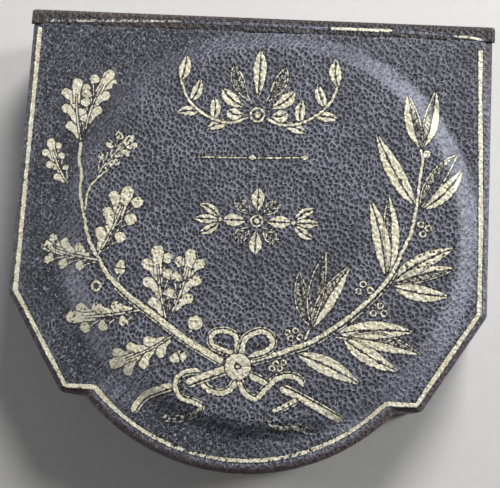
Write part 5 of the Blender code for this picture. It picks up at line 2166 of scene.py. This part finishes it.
@dataclass(frozen=True)
class CentreOrnaments:
    """Plain bookbinder's ornaments inside the wreath: a palmette, a rosette and the thin rule between."""

    surface: LidSurface
    foot: Point = (0.4, 22.2)
    middle: Point = (1.4, 2.3)

    def palmette(self) -> bpy.types.Object:
        """Tools a palmette of seven petals between two leafy sprays.

        Returns:
            The piece.
        """
        foil = Foil("gold_palmette", self.surface)
        solid, hatched = Fill.SOLID, Fill.HATCHED
        for angle, length, fill in (
            (90.0, 12.6, solid),
            (63.0, 10.6, hatched),
            (117.0, 10.6, hatched),
            (36.0, 8.2, solid),
            (144.0, 8.2, solid),
            (8.0, 5.6, solid),
            (172.0, 5.6, solid),
        ):
            way = heading(math.radians(angle))
            lean = 0.7 * float(np.sign(angle - 90.0))
            Blade(self.foot + way * 2.2, self.foot + way * length, 2.5, fill, fill, 0.1, lean, 0.62).draw(foil)
        foil.ring(self.foot, 1.5, 0.45)
        foil.ring(self.foot, 0.6, 1.2)
        for side in (1.0, -1.0):

            def beside(x: float, y: float) -> Point:
                """Places a point to this side of the foot."""
                return (self.foot[0] + side * x, y)

            stem = [beside(*place) for place in ((1.6, 21.6), (5.0, 20.4), (9.0, 21.4), (12.8, 24.4), (14.6, 28.4))]
            foil.stroke(stem, 0.55, 0.12)
            for start, end, width in (
                ((5.0, 20.5), (9.4, 18.9), 1.9),
                ((8.0, 21.0), (8.2, 25.4), 2.0),
                ((10.4, 22.3), (14.9, 21.9), 2.0),
                ((12.4, 24.2), (10.9, 28.6), 2.0),
                ((14.5, 28.2), (14.0, 33.6), 2.3),
            ):
                Blade(beside(*start), beside(*end), width, rubbed=0.12, bend=0.3 * side).draw(foil)
        return foil.build()

    def thin_rule(self) -> bpy.types.Object:
        """Tools the thin rule with its two lozenges.

        Returns:
            The piece.
        """
        foil = Foil("gold_thin_rule", self.surface)
        foil.stroke([(-10.2, 13.7), (-3.3, 13.9), (4.0, 14.2), (10.4, 14.6)], 0.3, 0.2)
        share = np.linspace(0.0, 1.0, 9)
        half = 0.55 * (1 - np.abs(2 * share - 1))
        for x, y in ((-0.1, 14.05), (9.5, 14.5)):
            foil.strip(np.column_stack([x - 0.9 + 1.8 * share, np.full(9, y)]), -half, half, 0.1, 0.004)
        return foil.build()

    def rosette(self) -> bpy.types.Object:
        """Tools an eight-petalled rosette between two bunches of leaves.

        Returns:
            The piece.
        """
        foil = Foil("gold_rosette", self.surface)
        x, y = self.middle
        for number, angle in enumerate(around(8)):
            way = heading(angle)
            length, fill = ((6.2, Fill.SOLID), (5.2, Fill.HATCHED))[number % 2]
            Blade(self.middle + way * 1.5, self.middle + way * length, 2.4, fill, fill, 0.12, 0.0, 0.6).draw(foil)
        foil.ring(self.middle, 1.2, 0.4)
        foil.ring(self.middle, 0.5, 1.0)
        for side in (1.0, -1.0):
            for reach, rise, bend in ((11.6, 0.0, 0.0), (10.6, 2.7, 0.4), (10.6, -2.7, -0.4)):
                start, end = (x + side * 7.0, y + rise * 0.2), (x + side * reach, y + rise)
                Blade(start, end, 1.7, rubbed=0.14, bend=bend * side).draw(foil)
            foil.ring((x + side * 6.6, y), 0.45, 0.9)
        return foil.build()


# ---------------------------------------------------------------- linings


@dataclass(frozen=True)
class Well:
    """The velvet that the medal lies in: its ring, its floor and the flat rim round them."""

    centre: Point = (3.5, 1.0)
    inner: float = 32.0
    outer: float = 33.8
    low: float = 4.2
    high: float = 9.2
    floor_radius: float = 31.7
    floor_top: float = 5.4
    rim_low: float = 9.0
    rim_high: float = 9.4
    rim_inset: float = 2.3
    rim_back: float = 40.05
    rim_hole: float = 35.4
    rim_edge: float = 0.12
    floor_dip: float = 0.55
    worn_radius: float = 26.0
    worn_reach: float = 3.5
    notches: tuple[tuple[float, float, float, float], ...] = (
        (-5.7, 5.7, -41.5, -34.8),
        (17.7, 30.1, 34.4, 41.5),
        (-30.1, -17.7, 34.4, 41.5),
    )

    def ring(self) -> bpy.types.Object:
        """Turns the velvet-covered ring, whose inner edge is well rounded.

        Returns:
            The piece.
        """
        mid = (self.inner + self.outer) / 2
        radius = (self.outer - self.inner) / 2
        profile = [(self.inner + 0.05, self.low), (self.inner, self.low + 0.6), (self.inner, self.high - radius)]
        profile += arc_points((mid, self.high - radius), radius, 170.0, 10.0, 12)
        profile += [(self.outer, self.high - radius), (self.outer, self.low + 0.3)]
        profile += [(self.outer - 0.2, self.low), (mid, self.low)]
        rings = turned_rings(profile, self.centre, 220)
        rings[..., 2] += 0.03 * np.sin(around(rings.shape[1]) * 17.0) * (rings[..., 2] > 8.0)
        wear = smooth_step(rings[..., 2], 8.6, 9.2) * 0.5
        return recalculate(rings_object("well_ring_velvet", rings, True, {"wear": wear}))

    def rim(self) -> bpy.types.Object:
        """Cuts the velvet of the flat rim, from just inside the leather to the well's round.

        The sheet is rings between the outline and the round hole, closed
        below. The notches for the clasp's plate and the hinge leaves, given
        by their limits in x and y, are cut out of it.

        Returns:
            The piece.
        """
        outer = CaseOutline(back=self.rim_back + self.rim_inset).rings(np.array([self.rim_inset]))[0]
        hole = self.centre + unit(outer - self.centre) * self.rim_hole
        inward = unit(hole - outer)
        top, low, soft = self.rim_high, self.rim_low, self.rim_edge
        section = [(0.0, low), (0.0, top - soft), (0.05, top - 0.03), (soft, top)]
        lines = [(outer + inward * step, z) for step, z in section]
        for share in (0.25, 0.5, 0.75):
            lines.append(((outer + inward * soft) * (1 - share) + (hole - inward * soft) * share, top))
        lines += [(hole - inward * step, z) for step, z in reversed(section)]
        rings = np.stack([np.column_stack([place, np.full(len(place), z)]) for place, z in lines])
        piece = recalculate(rings_object("base_rim_velvet", rings, True, {"wear": np.zeros(rings.shape[:2])}))
        shape = bmesh.new()
        low, high = low - 0.5, top + 0.5
        for left, right, front, back in self.notches:
            size = Matrix.Diagonal(((right - left) * MM, (back - front) * MM, (high - low) * MM, 1.0))
            middle = ((left + right) / 2 * MM, (front + back) / 2 * MM, (low + high) / 2 * MM)
            bmesh.ops.create_cube(shape, size=1.0, matrix=Matrix.Translation(middle) @ size)
        cut_away(piece, shape)
        return piece

    def floor(self) -> bpy.types.Object:
        """Turns the floor pad, a low crown that dips by a hair at its edge.

        Returns:
            The piece.
        """
        profile = [(0.3, self.low), (self.floor_radius - 0.4, self.low), (self.floor_radius, self.low + 0.4)]
        shares = np.linspace(1.0, 0.012, 60)
        profile += [(self.floor_radius * s, self.floor_top - self.floor_dip * s**6 + 0.05) for s in shares]
        rings = turned_rings(profile, self.centre, 160)
        x, y = rings[..., 0], rings[..., 1]
        crown = rings[..., 2] > self.low + 0.5
        rings[..., 2] += crown * 0.05 * np.sin(x / 4.0 + 0.5) * np.sin(y / 5.0)
        radius = np.hypot(x - self.centre[0], y - self.centre[1])
        wear = np.exp(-(((radius - self.worn_radius) / self.worn_reach) ** 2)) * 0.55
        return recalculate(rings_object("well_floor_velvet", rings, False, {"wear": wear}))


@dataclass(frozen=True)
class SatinCloth:
    """What the simulation is told of the pad's satin, under the names of its own settings."""

    quality: int = 6
    mass: float = 0.15
    tension_stiffness: float = 12.0
    compression_stiffness: float = 12.0
    shear_stiffness: float = 5.0
    bending_stiffness: float = 0.4
    shrink_min: float = -0.07
    use_pressure: bool = True
    uniform_pressure_force: float = 4.0


@dataclass(frozen=True)
class LidLining:
    """The satin inside the lid: a pleated hoop and the puffed pad that holds the medal still."""

    centre: Point = (3.5, 1.0)
    hoop_inner: float = 34.6
    hoop_outer: float = 35.4
    hoop_low: float = 12.4
    hoop_high: float = 17.5
    pad_radius: float = 34.3
    seam_radius: float = 33.5
    pad_top: float = 17.5
    seam: float = 14.5
    crown: float = 3.5
    pleats: int = 110
    pleat_depth: float = 0.22
    face_rows: int = 52
    free_rows: int = 50
    cloth_scale: float = 10.0
    cloth_frames: int = 20
    most_shift: float = 1.2
    puckers: int = 46
    pucker_depth: float = 0.55
    give: float = 0.3

    def hoop(self) -> bpy.types.Object:
        """Turns the satin hoop, gathered in fine upright pleats on its inner face.

        Returns:
            The piece.
        """
        low, high = self.hoop_low, self.hoop_high
        inner, outer = self.hoop_inner, self.hoop_outer
        profile = [(outer, low + 0.4), (outer, high)]
        profile += [(inner, z) for z in np.linspace(high, low + 0.4, 14)]
        profile += arc_points(((inner + outer) / 2, low + 0.4), (outer - inner) / 2, 190.0, 350.0, 7)
        rings = turned_rings(profile, self.centre, self.pleats * 8)
        angle = around(rings.shape[1])
        pleat = 0.5 + 0.5 * np.sin(angle * self.pleats + 0.8 * np.sin(angle * 7.0) + 0.3 * rings[..., 2])
        away = rings[..., :2] - self.centre
        radius = np.hypot(away[..., 0], away[..., 1])
        inside = smooth_step(-radius, -(inner + 0.3), -inner)
        stretch = 1 + self.pleat_depth * inside * pleat / radius
        rings[..., :2] = self.centre + away * stretch[..., None]
        # The wear value here marks the pleats' hollows, where the satin is coloured darker.
        return recalculate(rings_object("lid_hoop_satin", rings, True, {"wear": inside * pleat * 0.7}))

    def pad(self) -> bpy.types.Object:
        """Blows up the pad by cloth simulation, and sets it back in place.

        The flat cover is a disc held along its seam. Pressure fills it, and
        the extra cloth gathers into puckers round the seam. Each point is
        then kept within the room that the pad has.

        Returns:
            The piece.
        """
        rim, top, rows = self.pad_radius, self.pad_top, self.face_rows
        shares = np.linspace(0.012, 1.0, rows)
        profile = [(self.seam_radius * s, self.seam - 0.9 * self.crown * (1 - s**2.5)) for s in shares]
        profile += [(rim - 0.25, self.seam + 0.5), (rim - 0.2, top - 0.8), (rim - 0.6, top)]
        profile += [((rim - 0.6) * s, top) for s in (0.75, 0.4, 0.012)]
        rings = turned_rings(profile, (0.0, 0.0), 200)
        angle = around(rings.shape[1])
        row = np.arange(len(rings))[:, None]
        share = np.where(row < rows, row / (rows - 1), 0.0)
        folds = np.sin(angle * self.puckers + 1.2 * np.sin(angle * 5.0) + 0.7 * np.sin(angle * 13.0))
        rings[..., 2] += self.pucker_depth * (share**4 * (1 - share) * 5.0 * folds)
        shift = self.inflate(rings) - rings
        even = shift.mean(axis=1, keepdims=True)
        even[..., :2] = 0.0
        gathered = np.where(row < rows, smooth_step(share, 0.25, 0.75), 1.0)[..., None]
        rings = rings + even + (shift - even) * gathered
        rings[..., :2] += self.centre
        lowest = self.seam - self.crown
        spare = np.log1p(np.exp(np.clip((rings[..., 2] - lowest) / self.give, -30.0, 30.0))) * self.give
        rings[..., 2] = np.minimum(lowest + spare, top)
        # The wear value here rises towards the seam, where the satin puckers and is coloured darker.
        wear = np.broadcast_to(share**6 * 0.8, rings.shape[:2])
        piece = recalculate(rings_object("lid_pad_satin", rings, False, {"wear": wear}))
        finer = piece.modifiers.new("finer", "SUBSURF")
        finer.levels = finer.render_levels = 1
        return piece

    def inflate(self, rings: Array) -> Array:
        """Runs the cloth simulation on the pad's lower face, at a larger scale.

        Args:
            rings: The pad's points in mm, about its own middle.

        Returns:
            The points after the simulation.
        """
        piece = rings_object("pad_cloth", rings * self.cloth_scale, False)
        total = rings.shape[0] * rings.shape[1]
        group = piece.vertex_groups.new(name="held")
        group.add([*range(self.free_rows * rings.shape[1], total), total + 1], 1.0, "REPLACE")
        cloth = piece.modifiers.new("cloth", "CLOTH")
        for name, value in asdict(SatinCloth()).items():
            setattr(cloth.settings, name, value)
        cloth.settings.vertex_group_mass = group.name
        cloth.settings.effector_weights.gravity = 0.0
        cloth.collision_settings.use_collision = False
        cloth.point_cache.frame_start = 1
        cloth.point_cache.frame_end = self.cloth_frames
        for number in range(1, self.cloth_frames + 1):
            bpy.context.scene.frame_set(number)
        result = piece.evaluated_get(bpy.context.evaluated_depsgraph_get()).to_mesh()
        moved = np.empty(len(result.vertices) * 3, np.float32)
        result.vertices.foreach_get("co", moved)
        bpy.data.objects.remove(piece)
        bpy.context.scene.frame_set(1)
        places = moved.reshape(-1, 3)[:total].reshape(rings.shape) / (self.cloth_scale * MM)
        return rings + np.clip(places - rings, -self.most_shift, self.most_shift)


@dataclass(frozen=True)
class LiftRibbon:
    """The silk ribbon that passes under the medal and comes up behind it as a tab."""

    left: float = -1.5
    right: float = 8.5
    length: float = 65.6
    start_y: float = -25.0
    level: float = 5.85
    bend: float = 1.2
    wall_y: float = 32.45
    rise: float = 8.4
    curl: float = 1.6
    turn: float = 110.0
    tab: float = 3.0
    thickness: float = 0.22
    columns: int = 21

    def centre_line(self) -> Array:
        """Draws the ribbon from the side: along the floor, up the wall and over the ring.

        Returns:
            Points of (y, z) at even steps.
        """
        points = [(self.start_y, self.level), (self.wall_y - self.bend, self.level)]
        points += arc_points((self.wall_y - self.bend, self.level + self.bend), self.bend, -90.0, 0.0, 8)[1:]
        points += [(self.wall_y, self.rise)]
        over = arc_points((self.wall_y - self.curl, self.rise), self.curl, 0.0, self.turn, 12)[1:]
        points += over
        way = math.radians(self.turn + 90.0)
        points += [(over[-1][0] + self.tab * math.cos(way), over[-1][1] + self.tab * math.sin(way))]
        return resample(np.array(points), 0.25)

    def build(self) -> bpy.types.Object:
        """Carries the ribbon's width along its line, with a slight wave, and maps it flat.

        Returns:
            The piece.
        """
        line = self.centre_line()
        run = running_length(line)
        middle, half = (self.left + self.right) / 2, (self.right - self.left) / 2
        x = np.broadcast_to(np.linspace(self.left, self.right, self.columns), (len(line), self.columns))
        y = np.broadcast_to(line[:, :1], x.shape)
        along = np.broadcast_to(run[:, None], x.shape)
        lift = 0.05 * np.sin(along / 3.4) * np.cos((x - middle) / half * math.pi)
        curl = 0.25 * smooth_step(along, run[-1] - 6.0, run[-1]) * ((x - middle) / half) ** 2
        points = np.stack([x, y, line[:, 1:] + lift + curl], axis=-1)
        piece = mesh_object("lift_ribbon_silk", points.reshape(-1, 3), [grid_faces(*x.shape)])
        flat = np.stack([x - middle, along], axis=-1).reshape(-1, 2) * MM
        index = np.empty(len(piece.data.loops), np.int32)
        piece.data.loops.foreach_get("vertex_index", index)
        layer = piece.data.uv_layers.new(name="ribbon")
        layer.data.foreach_set("uv", flat[index].astype(np.float32).ravel())
        return thickened(piece, self.thickness, 0.0)


@dataclass(frozen=True)
class ClaspSpring:
    """The little coil between the button's head and the end of its bush."""

    radius: float = 1.2
    wire: float = 0.1
    turns: float = 2.25
    outer_y: float = -42.3
    inner_y: float = -40.8
    wall_y: float = -40.6
    axis_z: float = 4.7
    keep: float = 0.5
    steps_per_turn: int = 36

    def build(self) -> bpy.types.Object:
        """Carries a small circle along a helix about the button's axis.

        Returns:
            The piece.
        """
        share = np.linspace(0.0, 1.0, int(self.steps_per_turn * self.turns) + 1)
        angle = 2 * math.pi * self.turns * share
        away = np.column_stack([np.cos(angle), np.zeros_like(angle), np.sin(angle)])
        middle = away * self.radius + np.array([0.0, self.inner_y, self.axis_z])
        middle[:, 1] += (self.outer_y - self.inner_y) * share
        side = unit(np.cross(unit(np.gradient(middle, axis=0)), away))
        turn = around(10)[:, None]
        across = away[:, None] * np.cos(turn) + side[:, None] * np.sin(turn)
        return recalculate(rings_object("clasp_spring_coil", middle[:, None] + self.wire * across, False))


# ---------------------------------------------------------------- the whole case


@dataclass(frozen=True)
class Assembly:
    """A group of pieces on one body, and the finishes that they can have."""

    finishes: dict[str, bpy.types.Material]
    body: str = "base"

    def dress(
        self, piece: bpy.types.Object, finish: str, slot: str, *nodes: str, rides: bool = True
    ) -> bpy.types.Object:
        """Finishes a piece.

        Args:
            piece: The piece.
            finish: The name of its finish.
            slot: The record's material slot; not used.
            *nodes: The CAD nodes that it replaces.
            rides: Whether it rides on the body.

        Returns:
            The piece.
        """
        body = self.body
        piece.data.materials.append(self.finishes[finish])
        if rides:
            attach(piece, body)
        if nodes:
            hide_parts(*nodes)
        LOG.info("%s: %d vertices, %s", piece.name, len(piece.data.vertices), finish)
        return piece


@dataclass(frozen=True)
class Lid(Assembly):
    """Everything that turns with the lid."""

    body: str = "lid"
    surface: LidSurface = LidSurface()

    def build(self) -> None:
        """Builds and dresses the leather, the tooling and the satin lining."""
        self.dress(LidLeather(self.surface).build(), "case_leather", "case_leather", "lid_leather")
        border, wreath, ornaments = (part(self.surface) for part in (Border, Wreath, CentreOrnaments))
        for tool in (
            border.side_rules,
            border.back_rule,
            wreath.oak,
            wreath.laurel,
            wreath.bow,
            ornaments.palmette,
            ornaments.thin_rule,
            ornaments.rosette,
        ):
            self.dress(tool(), "gold_tooling", "case_leather")
        lining = LidLining()
        self.dress(lining.hoop(), "satin", "satin", "lid_lining_hoop")
        pad = self.dress(lining.pad(), "satin", "satin", "lid_satin_pad")


@dataclass(frozen=True)
class Base(Assembly):
    """Everything that stays with the base, and the strip that joins it to the lid."""

    surface: LidSurface = LidSurface()

    def build(self) -> None:
        """Builds and dresses the leather, the strip, the velvet, the clasp's spring and the ribbon."""
        self.dress(BaseLeather().build(), "case_leather", "case_leather", "base_leather")
        strip = SpineStrip(self.surface).build()
        self.dress(strip, "strip_leather", "case_leather", "spine_strip", rides=False)
        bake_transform(strip)
        well = Well()
        self.dress(well.ring(), "velvet", "velvet", "well_ring")
        self.dress(well.rim(), "velvet", "velvet", "base_rim_facing")
        floor = self.dress(well.floor(), "velvet", "velvet", "well_floor_pad")
        spring = ClaspSpring()
        coil = self.dress(spring.build(), "steel", "steel", "latch_spring")
        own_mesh(coil)
        ribbon = LiftRibbon()
        silk = self.dress(ribbon.build(), "ribbon_silk", "ribbon_silk", "lift_ribbon")


@dataclass(frozen=True)
class CarriedOver:
    """The CAD pieces, of which those that a new piece replaces don't show."""

    finishes: dict[str, bpy.types.Material]

    def dress(self) -> None:
        """Puts the finish of its slot on every CAD piece."""
        for part in frame["record"]["subparts"]:
            for slot in frame["nodes"][part["node"]].material_slots:
                slot.material = self.finishes[part["material_slot"]]
            LOG.info("%s: %s", part["node"], part["material_slot"])


@dataclass(frozen=True)
class Lamp:
    """One soft lamp, its place and the width of its disc in metres, its power in watts."""

    name: str
    place: Place
    size: float
    power: float

    def hang(self, target: Place) -> None:
        """Hangs the lamp, facing a place.

        Args:
            target: The place.
        """
        light = bpy.data.lights.new(self.name, "AREA")
        light.shape = "DISK"
        light.size = self.size
        light.energy = self.power
        back = unit(np.subtract(self.place, target))
        side = unit(np.cross([0.0, 0.0, 1.0], back))
        matrix = np.eye(4)
        matrix[:3] = np.column_stack([side, np.cross(back, side), back, self.place])
        placed(self.name, light).matrix_world = Matrix(matrix.tolist())


@dataclass(frozen=True)
class Stage:
    """The pale floor, the soft lamps and the camera over the case."""

    lens: float = 78.97
    target: Place = (0.0, 0.0, 0.019)
    camera: Place = (0.01004, -0.03452, 0.21574)
    turn: tuple[Place, Place, Place] = (
        (0.99749153, -0.0499292, 0.05017688),
        (0.05790129, 0.98328576, -0.17261679),
        (-0.04071959, 0.1750891, 0.98371018),
    )
    shift: Point = (0.00232, -0.01792)
    floor_reach: float = 900.0
    room_light: float = 0.10
    seen_light: float = 0.9
    lamps: tuple[Lamp, ...] = (
        Lamp("key", (0.14, 0.38, 0.36), 0.20, 2.4),
        Lamp("right", (0.58, 0.20, 0.23), 0.22, 2.9),
        Lamp("fill", (-0.60, 0.04, 0.12), 0.18, 1.1),
    )

    def floor(self) -> None:
        """Lays a wide pale floor under the case."""
        line = np.linspace(-self.floor_reach, self.floor_reach, 3)
        x, y = np.meshgrid(line, line)
        points = np.stack([x, y, np.full_like(x, -0.05)], axis=-1).reshape(-1, 3)
        piece = mesh_object("floor", points, [grid_faces(3, 3)[:, ::-1]])
        graph = Graph("floor")
        speckle = graph.noise(0.4, 4.0)
        graph.set(Base_Color=graph.mix(speckle, (216, 215, 213), (226, 225, 223)), Roughness=0.75)
        piece.data.materials.append(graph.material)

    def light(self) -> None:
        """Sets the lamps and the even light of the room."""
        for lamp in self.lamps:
            lamp.hang(self.target)
        world = bpy.data.worlds.new("room")
        bpy.context.scene.world = world
        world.use_nodes = True
        tree = world.node_tree
        background = tree.nodes["Background"]
        path = tree.nodes.new("ShaderNodeLightPath")
        seen = tree.nodes.new("ShaderNodeMath")
        seen.operation = "MAXIMUM"
        tree.links.new(path.outputs["Is Camera Ray"], seen.inputs[0])
        tree.links.new(path.outputs["Is Transmission Ray"], seen.inputs[1])
        strength = tree.nodes.new("ShaderNodeMapRange")
        strength.inputs[3].default_value = self.room_light
        strength.inputs[4].default_value = self.seen_light
        tree.links.new(seen.outputs[0], strength.inputs[0])
        tree.links.new(strength.outputs[0], background.inputs["Strength"])
        background.inputs["Color"].default_value = (0.93, 0.94, 0.96, 1.0)

    def look(self) -> None:
        """Places the camera at the photograph's angle."""
        view = bpy.data.cameras.new("camera")
        view.lens = self.lens
        view.sensor_width = 36.0
        view.shift_x, view.shift_y = self.shift
        view.clip_start = 0.005
        camera = placed("camera", view)
        camera.matrix_world = Matrix.Translation(self.camera) @ Matrix(self.turn).to_4x4()
        bpy.context.scene.camera = camera
        bpy.context.scene.view_settings.view_transform = "Standard"


def main() -> None:
    """Builds the case and sets the stage."""
    logging.basicConfig(level=logging.INFO, format="%(name)s %(message)s")
    stage = Stage()
    stage.look()
    stage.floor()
    stage.light()
    finishes = all_finishes()
    CarriedOver(finishes).dress()
    Lid(finishes).build()
    Base(finishes).build()


if __name__ == "__main__":
    main()
